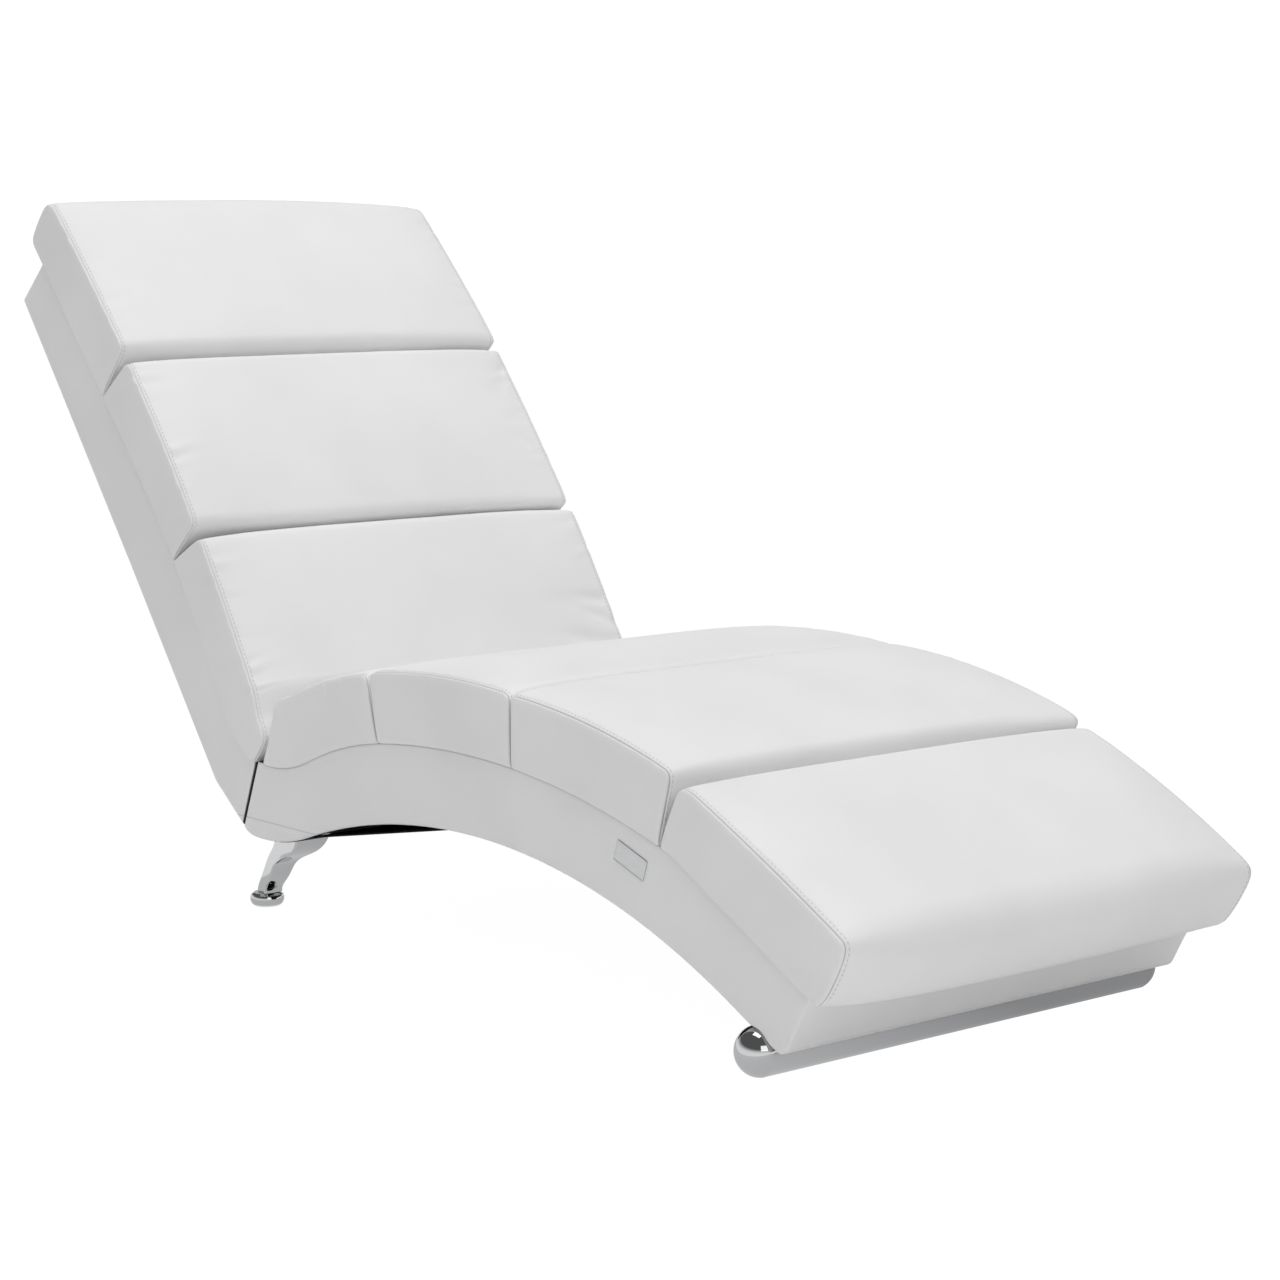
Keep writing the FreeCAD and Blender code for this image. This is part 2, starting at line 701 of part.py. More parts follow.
def make_cap():
    """Round-ended cap with a rim on the tube's end and a hollow plug inside it."""
    shoulder = half_tube + cap_rim
    crest = shoulder + cap_dome
    ball = (tube_radius ** 2 + cap_dome ** 2) / (2 * cap_dome)
    half_angle = math.asin(tube_radius / ball) / 2
    middle = Vector(ball * math.sin(half_angle), crest - ball + ball * math.cos(half_angle), 0)
    arc = Part.Arc(Vector(0, crest, 0), middle, Vector(tube_radius, shoulder, 0)).toShape()
    plug = bore_radius - tube_clearance
    plug_end = half_tube - cap_plug_length
    places = [
        Vector(tube_radius, shoulder, 0), Vector(tube_radius, half_tube, 0), Vector(plug, half_tube, 0),
        Vector(plug, plug_end, 0), Vector(plug - cap_plug_wall, plug_end, 0),
        Vector(plug - cap_plug_wall, half_tube, 0), Vector(0, half_tube, 0), Vector(0, crest, 0)]
    return turned(places, arc, along_y, tube_axis)


nodes["tube_cap_far"] = make_cap()
nodes["tube_cap_near"] = mirrored(make_cap())

# Rear legs, their thread inserts and the levelling glides
leg_y = half_base - leg_side_inset
leg_base = glide_thickness + leg_disc_gap
leg_top = leg_board_bottom - leg_plate_thickness
leg_foot_distance = leg_top_distance - leg_sweep
glide_x = leg_foot_distance - glide_set_back
glide_y = leg_y + glide_set_out


def leg_section(height_share, sweep_share, length_share, width_share):
    """Rounded rectangle across the leg at one share of its height."""
    centre = Vector(leg_foot_distance + leg_sweep * sweep_share, leg_y,
                    leg_base + (leg_top - leg_base) * height_share)
    length = leg_foot_length + (leg_top_length - leg_foot_length) * length_share
    width = leg_foot_width + (leg_top_width - leg_foot_width) * width_share
    return rounded_rectangle(centre, length, width, leg_edge)


leg_sections = zip(leg_height_shares, leg_sweep_shares, leg_length_shares, leg_width_shares)
leg_body = Part.makeLoft([leg_section(*shares) for shares in leg_sections], True, False)
leg_plate_length = leg_top_length + leg_plate_reach * 2
leg_plate_width = leg_top_width + leg_plate_lip * 2
leg_plate_outline = rounded_rectangle(
    Vector(leg_top_distance, leg_y, leg_top), leg_plate_length, leg_plate_width, leg_edge)
leg_plate = Part.Face(leg_plate_outline).extrude(up * leg_plate_thickness)
bore = glide_stud_radius + glide_bore_clearance
glide_seat = Vector(glide_x, glide_y, leg_base)
insert_space = rod(glide_seat, up, bore + insert_wall, insert_length)
stud_space = rod(glide_seat, up, bore, glide_stud_length + glide_bore_spare)
leg_insert = insert_space.cut(stud_space)
leg_screws = []
for turn_x in (-1, 1):
    for turn_y in (-1, 1):
        under = Vector(leg_top_distance + turn_x * (leg_plate_length / 2 - leg_screw_inset),
                       leg_y + turn_y * leg_screw_spacing / 2, leg_top - leg_screw_head)
        head = rod(under, up, leg_screw_head_radius, leg_screw_head)
        leg_screws.append(head.fuse(rod(under, up, leg_screw_radius, leg_screw_length)).removeSplitter())
rear_leg = cut_by(leg_body.fuse(leg_plate).removeSplitter().cut([insert_space, stud_space]), leg_screws)
leg_screws += [mirrored(screw) for screw in leg_screws]
nodes["rear_leg_far"] = rear_leg
nodes["rear_leg_near"] = mirrored(rear_leg)
nodes["leg_insert_far"] = leg_insert
nodes["leg_insert_near"] = mirrored(leg_insert)
nodes["leg_screws"] = Part.makeCompound(leg_screws)
nodes["leg_board"] = cut_by(leg_board, seat_screws + leg_screws)


def make_glide():
    """Disc with a swelling rim and a stud that screws up into the leg."""
    stud_top = glide_thickness + glide_stud_length
    arc = Part.Arc(Vector(glide_base_radius, 0, 0), Vector(glide_radius, 0, glide_swell_height),
                   Vector(glide_rim_radius, 0, glide_rim_height)).toShape()
    places = [
        Vector(glide_rim_radius, 0, glide_rim_height), Vector(glide_top_radius, 0, glide_thickness),
        Vector(glide_stud_radius, 0, glide_thickness), Vector(glide_stud_radius, 0, stud_top),
        Vector(0, 0, stud_top), Vector(0, 0, 0), Vector(glide_base_radius, 0, 0)]
    return turned(places, arc, up, Vector(glide_x, glide_y, 0))


nodes["glide_far"] = make_glide()
nodes["glide_near"] = mirrored(make_glide())

# Black cloth under the seat: straight from the heel to the arch, then along the arch
cloth_end = belly_length - toe_run + cloth_end_gap
cloth_edges = []
for height in (0.0, -cloth_thickness):
    cloth_edges += path_edges(belly_path, cloth_start, cloth_chord_start, height)
    cloth_edges += path_edges(belly_path, cloth_chord_end, cloth_end, height)
    cloth_edges.append(Part.makeLine(on_path(belly_path, cloth_chord_start, height),
                                     on_path(belly_path, cloth_chord_end, height)))
for distance in (cloth_start, cloth_end):
    cloth_edges.append(Part.makeLine(on_path(belly_path, distance),
                                     on_path(belly_path, distance, -cloth_thickness)))
half_cloth = half_base - cloth_edge_inset
gap_length = leg_plate_length + cloth_leg_margin * 2
gap_width = leg_plate_width + cloth_leg_margin * 2
leg_gap = Part.makeBox(gap_length, gap_width, overrun * 2)
leg_gap.translate(Vector(
    leg_top_distance - gap_length / 2, leg_y - gap_width / 2, leg_board_bottom - overrun * 2))
nodes["dust_cover"] = prism(cloth_edges, -half_cloth, half_cloth).cut([leg_gap, mirrored(leg_gap)])

# Bare label plate on the near side
plate = Part.Face(rounded_rectangle(Vector(0, 0, 0), plate_length, plate_height, plate_corner))
plate = plate.extrude(up * plate_thickness)
plate.rotate(Vector(0, 0, 0), Vector(1, 0, 0), 90)
plate_fall = plate_turn_degrees - math.degrees(heading_at(seat_path, plate_distance))
plate.rotate(Vector(0, 0, 0), along_y, plate_fall)
plate.translate(on_path(seat_path, plate_distance, -plate_depth, -half_base))
nodes["label_plate"] = plate

# Back frame
rear_stack = cover_skin + deck_thickness
back_side = back_region(-deck_thickness, rear_stack, cover_skin, half_inside, half_frame)
back_core = back_region(-deck_thickness, rear_stack, cover_skin, -half_inside, half_inside)
top_rail_rear = cover_skin + panel_thickness
top_rail_middle = (cover_skin + top_rail_rear) / 2
back_top_rail = path_block(back_path, cover_skin, top_rail_rear, 0.0, -back_depth_bend).common(back_core)
back_top_screws = frame_screws([
    on_path(back_path, top_rail_middle, -deck_thickness - frame_screw_edge),
    on_path(back_path, top_rail_middle, rear_stack + frame_screw_edge - back_depth_top)])
back_upper_rail, back_upper_screws = rail_with_screws(
    back_path, shoulder_at, -deck_thickness, rail_thickness)
back_lower_rail, back_lower_screws = rail_with_screws(
    back_path, lumbar_at, -deck_thickness, rail_thickness)
back_bottom_rail = joint_block(-overrun, joint_back_depth + overrun, -joint_gap - cover_skin, -back_face)
back_bottom_screws = frame_screws([
    joint_spot(distance, -joint_gap - rail_middle) for distance in (bolt_low_distance, bolt_high_distance)])
back_screws = back_top_screws + back_upper_screws + back_lower_screws + back_bottom_screws
back_cover = back_region(0.0, 0.0, 0.0, -half_base, half_base).cut(
    back_region(overrun / 2, cover_skin, cover_skin, -half_frame, half_frame))
nodes["back_rear_panel"] = back_region(-deck_thickness, cover_skin, cover_skin, -half_frame, half_frame).cut(
    back_region(-deck_thickness, rear_stack, cover_skin, -half_frame, half_frame))
nodes["back_deck"] = back_region(0.0, cover_skin, cover_skin, -half_frame, half_frame).cut(
    back_region(-deck_thickness, cover_skin, cover_skin, -half_frame, half_frame))
nodes["back_side_rail_far"] = cut_by(back_side, back_screws)
nodes["back_side_rail_near"] = cut_by(mirrored(back_side), back_screws)
nodes["back_top_rail"] = cut_by(back_top_rail, back_screws)
nodes["back_upper_rail"] = cut_by(back_upper_rail, back_screws)
nodes["back_lower_rail"] = cut_by(back_lower_rail, back_screws)
nodes["back_bottom_rail"] = cut_by(back_bottom_rail.common(back_core), back_screws + bolt_holes + nut_holes)
nodes["back_base_cover"] = cut_by(back_cover, bolt_holes)
nodes["back_frame_screws"] = Part.makeCompound(back_screws)

# Centre the whole lounger on the floor
rear_reach = on_path(back_path, 0.0, -back_depth_top).x
nose_reach = nodes["leg_cushion"].optimalBoundingBox().XMax
centre_shift = -(rear_reach + nose_reach) / 2
os.makedirs("parts", exist_ok=True)
for name, shape in nodes.items():
    shape.translate(Vector(centre_shift, 0, 0))
    shape.exportStep("parts/" + name + ".step")
    box = shape.BoundBox
    print(name, len(shape.Solids), shape.isValid(), round(shape.Volume), [round(value) for value in (
        box.XMin, box.XMax, box.YMin, box.YMax, box.ZMin, box.ZMax)])
print("pieces", len(nodes), "shift", round(centre_shift, 3))
print("half length", round(nose_reach + centre_shift, 3), "tube", round(tube_axis.x + centre_shift, 3))
print("glide", round(glide_x + centre_shift, 3), round(glide_y, 3))
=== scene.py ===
import math
import bpy
import numpy as np
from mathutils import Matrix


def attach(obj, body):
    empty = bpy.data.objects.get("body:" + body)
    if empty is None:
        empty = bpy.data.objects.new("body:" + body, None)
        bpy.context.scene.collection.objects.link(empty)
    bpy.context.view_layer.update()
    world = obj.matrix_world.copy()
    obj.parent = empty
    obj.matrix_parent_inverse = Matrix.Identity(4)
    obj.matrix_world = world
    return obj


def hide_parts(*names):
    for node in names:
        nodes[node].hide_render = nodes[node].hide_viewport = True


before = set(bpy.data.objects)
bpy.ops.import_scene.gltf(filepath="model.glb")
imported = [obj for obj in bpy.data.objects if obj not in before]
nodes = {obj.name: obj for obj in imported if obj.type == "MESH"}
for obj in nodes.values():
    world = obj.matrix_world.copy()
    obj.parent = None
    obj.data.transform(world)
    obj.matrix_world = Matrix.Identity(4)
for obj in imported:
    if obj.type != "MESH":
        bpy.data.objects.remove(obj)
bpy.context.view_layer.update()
millimetre = 0.001
cornerSteps = 9
allFaces = ("near", "far", "front", "rear", "bottom", "top")

# The side view that the solids have too, in mm and degrees: paths as runs of a length and a turn
sideView = {
    "shift": -273.854, "heel": 103.3, "lean": 68.0, "gap": 2.0,
    "seatDepth": 86.0, "seatStart": -8.6,
    "seatRuns": ((106.8, 32.0), (5.5, 0.0), (144.7, -15.9), (478.1, -24.2), (27.1, -10.8),
                 (208.3, 0.0)),
    "bellyStart": -45.9,
    "bellyRuns": ((21.5, 41.7), (107.5, 23.6), (294.2, -17.9), (457.2, -27.7), (82.0, 0.0)),
    "backDepth": 82.0, "backStart": -48.7,
    "backRuns": ((281.0, 1.3), (363.0, -14.3), (79.0, 36.5), (12.0, 0.0)),
    "tube": (611.135, 25.0), "tubeRadius": 25.3,
}


def layPath(start, heading, runs):
    # each run is an arc, or straight where its turn is nothing; its chord leads to where the next one starts
    length, turn = np.array(runs, float).T
    turn = np.radians(turn)
    heading = math.radians(heading) + np.cumsum(turn) - turn
    chord = length * np.sinc(turn / (2 * np.pi))
    stepX, stepZ = chord * np.cos(heading + turn / 2), chord * np.sin(heading + turn / 2)
    return {"x": start[0] + np.cumsum(stepX) - stepX, "z": start[1] + np.cumsum(stepZ) - stepZ,
            "heading": heading, "turn": turn, "length": length, "done": np.cumsum(length) - length,
            "total": length.sum()}


def placeOn(path, along, off):
    # along its run a point lies a chord away, then straight on past the ends, and off the path squarely
    along, off = np.broadcast_arrays(np.asarray(along, float), np.asarray(off, float))
    run = np.clip(np.searchsorted(path["done"], along, side="right") - 1, 0, len(path["done"]) - 1)
    inside = np.clip(along - path["done"][run], 0, path["length"][run])
    past = along - path["done"][run] - inside
    turned = path["turn"][run] * inside / path["length"][run]
    chord = inside * np.sinc(turned / (2 * np.pi))
    middle, now = path["heading"][run] + turned / 2, path["heading"][run] + turned
    x = path["x"][run] + chord * np.cos(middle) + past * np.cos(now) - off * np.sin(now)
    z = path["z"][run] + chord * np.sin(middle) + past * np.sin(now) + off * np.cos(now)
    return np.stack([x, z], -1), now


def jointSpot(up, out):
    lean = math.radians(sideView["lean"])
    return np.array([sideView["shift"] + up * math.cos(lean) + out * math.sin(lean),
                     sideView["heel"] + up * math.sin(lean) - out * math.cos(lean)])


seatPath = layPath(jointSpot(sideView["seatDepth"], 0), sideView["seatStart"], sideView["seatRuns"])
bellyPath = layPath(jointSpot(0, 0), sideView["bellyStart"], sideView["bellyRuns"])
freeBack = layPath((0, 0), sideView["backStart"], sideView["backRuns"])
backEnd = placeOn(freeBack, freeBack["total"], 0)[0]
backPath = layPath(jointSpot(sideView["backDepth"], -sideView["gap"]) - backEnd,
                   sideView["backStart"], sideView["backRuns"])
paths = {"seat": seatPath, "belly": bellyPath, "back": backPath}


def spread(total, near, gap):
    # places along a length: the near ones from each end, and between them steps of about the gap
    near = np.array(near, float)
    count = max(2, round((total - 2 * near[-1]) / gap))
    middle = np.linspace(near[-1], total - near[-1], count + 1)[1:-1]
    return np.concatenate([near, middle, total - near[::-1]])


def unit(vector):
    return vector / np.linalg.norm(vector, axis=-1, keepdims=True)


def bend(leave, tip, join, part):
    # a curve of second degree that leaves one side, turns by the tip and joins the other side
    part = part[:, None]
    return leave * (1 - part) ** 2 + 2 * tip * part * (1 - part) + join * part ** 2


def roundedSide(before, start, end, after, cuts, share):
    # half a rounded corner, a straight run and half a rounded corner
    def corner(one, tip, other, cut, part):
        return bend(tip + cut * unit(one - tip), tip, tip + cut * unit(other - tip), part)

    first = corner(before, start, end, cuts[0], np.linspace(0.5, 1, cornerSteps))
    last = corner(start, end, after, cuts[1], np.linspace(0, 0.5, cornerSteps))
    line = np.concatenate([first, last])
    done = np.concatenate([[0], np.cumsum(np.linalg.norm(np.diff(line, axis=0), axis=1))])
    return np.stack([np.interp(share * done[-1], done, line[:, axis]) for axis in (0, 1)], -1)


def fillSides(bottom, top, rear, front, a, b):
    # what each pair of facing sides gives, less what their four corners give
    a, b = a[:, None, None], b[None, :, None]
    across = bottom[:, None] * (1 - b) + top[:, None] * b
    along = rear[None] * (1 - a) + front[None] * a
    corners = ((bottom[0] * (1 - a) + bottom[-1] * a) * (1 - b)
               + (top[0] * (1 - a) + top[-1] * a) * b)
    return across + along - corners


def outlineOf(points):
    # outward normals of the outline of a grid in the side view, mitred at its corners
    ns, no = points.shape[:2]
    along, up = np.arange(ns), np.arange(1, no - 1)
    i = np.concatenate([along, np.full(no - 2, ns - 1), along[::-1], np.zeros(no - 2, int)])
    j = np.concatenate([np.zeros(ns, int), up, np.full(ns, no - 1), up[::-1]])
    ring = points[i, j]
    step = np.roll(ring, -1, 0) - ring
    after = unit(np.stack([step[:, 1], -step[:, 0]], -1))
    before = np.roll(after, 1, 0)
    normal = (before + after) / (1 + (before * after).sum(-1, keepdims=True))
    normals = np.zeros(points.shape)
    normals[i, j] = normal
    return normals


def skinGrid(ns, no, ny, faces):
    # numbers the points on the skin of a block of points and lists the quads of the faces asked for,
    # wound to face outward
    i, j, k = np.meshgrid(np.arange(ns), np.arange(no), np.arange(ny), indexing="ij")
    places = {"rear": i == 0, "front": i == ns - 1, "bottom": j == 0, "top": j == no - 1,
              "near": k == 0, "far": k == ny - 1}
    used = np.any([places[face] for face in faces], axis=0)
    number = np.full(i.shape, -1)
    number[used] = np.arange(used.sum())
    sheets = {"top": number[:, -1, :], "bottom": number[:, 0, :].T, "near": number[:, :, 0],
              "far": number[:, :, -1].T, "front": number[-1].T, "rear": number[0]}
    quads = []
    for sheet in (sheets[face] for face in faces):
        quads.append(np.stack([sheet[:-1, :-1], sheet[1:, :-1], sheet[1:, 1:], sheet[:-1, 1:]],
                              -1).reshape(-1, 4))
    return i[used], j[used], k[used], np.concatenate(quads), number


def makePiece(name, points, faces, material, smooth=True):
    mesh = bpy.data.meshes.new(name)
    mesh.from_pydata((points * millimetre).tolist(), [], faces)
    mesh.polygons.foreach_set("use_smooth", np.full(len(mesh.polygons), smooth))
    mesh.materials.append(material)
    mesh.update()
    piece = bpy.data.objects.new(name, mesh)
    bpy.context.scene.collection.objects.link(piece)
    return piece


def finishWith(piece, kind, **settings):
    modifier = piece.modifiers.new(kind.title(), kind)
    for key, value in settings.items():
        setattr(modifier, key, value)


# Colours and materials

def colour(code):
    # sRGB hex to linear, by the two pieces of the sRGB curve
    parts = np.array([int(code[n:n + 2], 16) / 255 for n in (1, 3, 5)])
    linear = np.where(parts <= 0.04045, parts / 12.92, ((parts + 0.055) / 1.055) ** 2.4)
    return (*linear.tolist(), 1.0)


def addNode(tree, kind, links=(), **settings):
    node = tree.nodes.new(kind)
    for key, value in settings.items():
        if key.startswith("in_"):
            name = key[3:]
            node.inputs[int(name) if name.isdigit() else name.replace("_", " ")].default_value = value
        else:
            setattr(node, key, value)
    for socket, source in links:
        tree.links.new(source, node.inputs[socket])
    return node


def newMaterial(name, **shader):
    material = bpy.data.materials.new(name)
    material.use_nodes = True
    tree = material.node_tree
    tree.nodes.clear()
    body = addNode(tree, "ShaderNodeBsdfPrincipled", **shader)
    addNode(tree, "ShaderNodeOutputMaterial", [("Surface", body.outputs[0])])
    spot = addNode(tree, "ShaderNodeTexCoord").outputs["Object"]
    return material, tree, body, spot


def surfaceOf(tree):
    return [node for node in tree.nodes if node.type == "OUTPUT_MATERIAL"][0].inputs["Surface"]


def varied(tree, spot, size, low, high):
    # soft noise, its patches about the size in mm, carried to a range of values
    noise = addNode(tree, "ShaderNodeTexNoise", [("Vector", spot)], in_Scale=1 / (size * millimetre))
    return addNode(tree, "ShaderNodeMapRange", [("Value", noise.outputs[0])], in_From_Min=0.3,
                   in_From_Max=0.7, in_To_Min=low, in_To_Max=high).outputs[0]


def tinted(tree, spot, size, first, second, detail=2.0):
    # soft noise, its patches about the size in mm, carried to two colours
    noise = addNode(tree, "ShaderNodeTexNoise", [("Vector", spot)], in_Scale=1 / (size * millimetre),
                    in_Detail=detail)
    ramp = addNode(tree, "ShaderNodeValToRGB", [("Fac", noise.outputs[0])])
    for stop, place, code in zip(ramp.color_ramp.elements, (0.35, 0.65), (first, second)):
        stop.position, stop.color = place, colour(code)
    return ramp.outputs[0]


# sizes in mm: clouds of colour, patches of sheen, the embossed grain, which is drawn coarser than real
# so that it shows, and the pores
# shade is the near black that the painted shade of seams and stitched rows mixes the leather towards
leather = {"light": "#F1F1F1", "dark": "#EDEDED", "shade": "#0C0C0D", "cloud": 160.0, "sheen": 71.43,
           "grain": 1.7, "pore": 0.9, "roughness": (0.46, 0.56)}


def makeLeather(name, look):
    # faux leather, PVC with a fine embossed grain: soft broad highlights, colour almost even
    material, tree, body, spot = newMaterial(name, in_IOR=1.5)
    link = tree.links.new
    # an attribute mixes the colour towards shade: painted shade in seams and stitched rows, and the joint
    # faces of the base covers drawn near black
    paintedShadeAndJoint = addNode(tree, "ShaderNodeAttribute", attribute_name="paintedShadeAndJoint")
    tint = tinted(tree, spot, look["cloud"], look["dark"], look["light"])
    base = addNode(tree, "ShaderNodeMix", [("Factor", paintedShadeAndJoint.outputs["Fac"]), (6, tint)],
                   data_type="RGBA", in_7=colour(look["shade"]))
    link(base.outputs[2], body.inputs["Base Color"])
    link(varied(tree, spot, look["sheen"], *look["roughness"]), body.inputs["Roughness"])
    grain = addNode(tree, "ShaderNodeTexVoronoi", [("Vector", spot)], feature="SMOOTH_F1",
                    in_Scale=1 / (look["grain"] * millimetre), in_Smoothness=0.6)
    pores = addNode(tree, "ShaderNodeTexNoise", [("Vector", spot)],
                    in_Scale=1 / (look["pore"] * millimetre), in_Detail=1.0)
    fine = addNode(tree, "ShaderNodeBump", [("Height", pores.outputs[0])], in_Strength=0.12,
                   in_Distance=0.15 * millimetre)
    bump = addNode(tree, "ShaderNodeBump", [("Height", grain.outputs[0]), ("Normal", fine.outputs[0])],
                   in_Strength=0.18, in_Distance=0.25 * millimetre)
    link(bump.outputs[0], body.inputs["Normal"])
    return material


def sewnAcross(material, seam):
    # the same leather with one seam across the side panels: painted shade of its groove, a dark line over the
    # seam's width
    tree = material.node_tree
    spot = addNode(tree, "ShaderNodeTexCoord").outputs["Object"]
    axes = addNode(tree, "ShaderNodeSeparateXYZ", [("Vector", spot)])
    rise = addNode(tree, "ShaderNodeMath", [(0, axes.outputs["X"])], operation="MULTIPLY_ADD",
                   in_1=seam["slope"], in_2=-seam["height"])
    off = addNode(tree, "ShaderNodeMath", [(0, axes.outputs["Z"]), (1, rise.outputs[0])], operation="ADD")
    size = addNode(tree, "ShaderNodeMath", [(0, off.outputs[0])], operation="ABSOLUTE")
    line = addNode(tree, "ShaderNodeMapRange", [("Value", size.outputs[0])], in_From_Min=seam["half"],
                   in_From_Max=0.0, in_To_Max=seam["dark"])
    end = addNode(tree, "ShaderNodeMapRange", [("Value", axes.outputs["X"])], in_From_Min=seam["end"],
                  in_From_Max=seam["end"] - seam["fade"])
    paintedSeamShade = addNode(tree, "ShaderNodeMath", [(0, line.outputs[0]), (1, end.outputs[0])], operation="MULTIPLY")
    mix = [node for node in tree.nodes if node.type == "MIX"][0]
    paintedShadeAndJoint = mix.inputs["Factor"].links[0].from_socket
    both = addNode(tree, "ShaderNodeMath", [(0, paintedShadeAndJoint), (1, paintedSeamShade.outputs[0])], operation="MAXIMUM")
    tree.links.new(both.outputs[0], mix.inputs["Factor"])
    return material


whiteLeather = makeLeather("fauxLeatherEmbossed", leather)
# metres: the seam lies at this height less the slope times X; half its width, and where it fades out; dark,
# how far the painted shade of its groove darkens the leather
heelSeamShade = {"height": 0.1178, "slope": -0.010, "half": 0.0011, "dark": 0.3, "end": -0.105, "fade": 0.03}
baseLeather = sewnAcross(makeLeather("fauxLeatherBase", leather), heelSeamShade)


def makeChrome(name, shade, roughness):
    # plating on steel, chromium or zinc: a metal whose haze is set by its roughness, with a slow ripple
    material, tree, body, spot = newMaterial(name, in_Metallic=1.0, in_Base_Color=colour(shade))
    tree.links.new(varied(tree, spot, 28.57, *roughness), body.inputs["Roughness"])
    ripple = addNode(tree, "ShaderNodeTexNoise", [("Vector", spot)], in_Scale=1 / (45.45 * millimetre),
                     in_Detail=1.0)
    bump = addNode(tree, "ShaderNodeBump", [("Height", ripple.outputs[0])], in_Strength=0.05,
                   in_Distance=0.6 * millimetre)
    tree.links.new(bump.outputs[0], body.inputs["Normal"])
    return material


# bright chromium plating on polished steel: mirror reflections, with the faintest haze
chrome = makeChrome("chromePolished", "#C9CACB", (0.035, 0.075))
# zinc plating tumbled dull: grey, with blurred reflections
zincSteel = makeChrome("zincSteelTumbled", "#A9ABA8", (0.3, 0.42))


def makeCloth(name):
    # black spun-bonded cloth: dead matt, a faint dimple pattern 3 mm apart
    material, tree, body, spot = newMaterial(name, in_Roughness=0.95, in_Specular_IOR_Level=0.2)
    tree.links.new(tinted(tree, spot, 16.67, "#0B0B0C", "#151516"), body.inputs["Base Color"])
    dimples = addNode(tree, "ShaderNodeTexVoronoi", [("Vector", spot)], in_Scale=1 / (3 * millimetre))
    bump = addNode(tree, "ShaderNodeBump", [("Height", dimples.outputs[0])], in_Strength=0.4,
                   in_Distance=0.3 * millimetre)
    tree.links.new(bump.outputs[0], body.inputs["Normal"])
    return material


def makeWood(name, light, dark, ring, stretch):
    # plywood and hardboard: streaks along the sheet, open pores, no varnish
    material, tree, body, spot = newMaterial(name, in_Roughness=0.7)
    turn = addNode(tree, "ShaderNodeMapping", [("Vector", spot)], in_Scale=(1.0, stretch, stretch))
    tree.links.new(tinted(tree, turn.outputs[0], ring, dark, light, 5.0), body.inputs["Base Color"])
    return material


def makeFoam(name):
    # polyurethane foam, open cells about 1.5 mm across
    material, tree, body, spot = newMaterial(name, in_Roughness=0.9, in_Base_Color=colour("#E8DFB8"))
    cells = addNode(tree, "ShaderNodeTexVoronoi", [("Vector", spot)], in_Scale=1 / (1.5 * millimetre))
    bump = addNode(tree, "ShaderNodeBump", [("Height", cells.outputs[0])], in_Strength=0.5,
                   in_Distance=0.4 * millimetre)
    tree.links.new(bump.outputs[0], body.inputs["Normal"])
    return material


def makePlate(name):
    # aluminium with a fine brushed finish along the plate
    material, tree, body, spot = newMaterial(name, in_Metallic=1.0, in_Base_Color=colour("#C4C5C6"))
    turn = addNode(tree, "ShaderNodeMapping", [("Vector", spot)], in_Scale=(0.04, 1.0, 1.0),
                   in_Rotation=(0.0, math.radians(-18.0), 0.0))
    tree.links.new(varied(tree, turn.outputs[0], 0.8, 0.3, 0.5), body.inputs["Roughness"])
    return material


finishes = {
    "white_leather": whiteLeather, "base_leather": baseLeather, "chrome": chrome, "glide_chrome": chrome,
    "zinc_steel": zincSteel, "black_cloth": makeCloth("clothSpunBonded"), "foam": makeFoam("foamOpenCell"),
    "plywood": makeWood("plywoodSanded", "#D9B98A", "#B98F5A", 9.0, 6.0),
    "hardboard": makeWood("hardboardPressed", "#8A6440", "#6E4B2C", 2.0, 1.0),
    "bare_plate": makePlate("aluminiumBrushed"),
}
# twisted polyester thread: matt, its own slightly grey white drawn darker still as painted shade of the
# stitches
thread = newMaterial("threadTwistedPolyester", in_Roughness=0.6, in_Base_Color=colour("#BFBFC0"))[0]

for name, node in nodes.items():
    for slot in node.material_slots:
        if slot.material.name in finishes:
            slot.material = finishes[slot.material.name]
        else:
            print("no finish for", name, slot.material.name)
print("materials", len(finishes))

# Cushions: two side panels sewn to a strip that runs up one end, over the top and down the other end.
# In mm: low, where its foot starts and ends on the path; lean, how far the top stands past that; tops,
# the heights by the seams at the start, half way and at the end; crown, what the middle of the width and
# far, what the far edge, adds at the same places; the cuts round its corners below, above by the seams
# and above in the middle; drop, swell, bulge, sideBack and skew shape its two ends. A notch is an end that
# faces a neighbour. gather is the share of the puckers, dark the shade in the seam, and fall where the top
# starts to drop and how fast.
# creases: from and to, each a place and a Y, then width and depth; tucks: place, width, depth and reach.

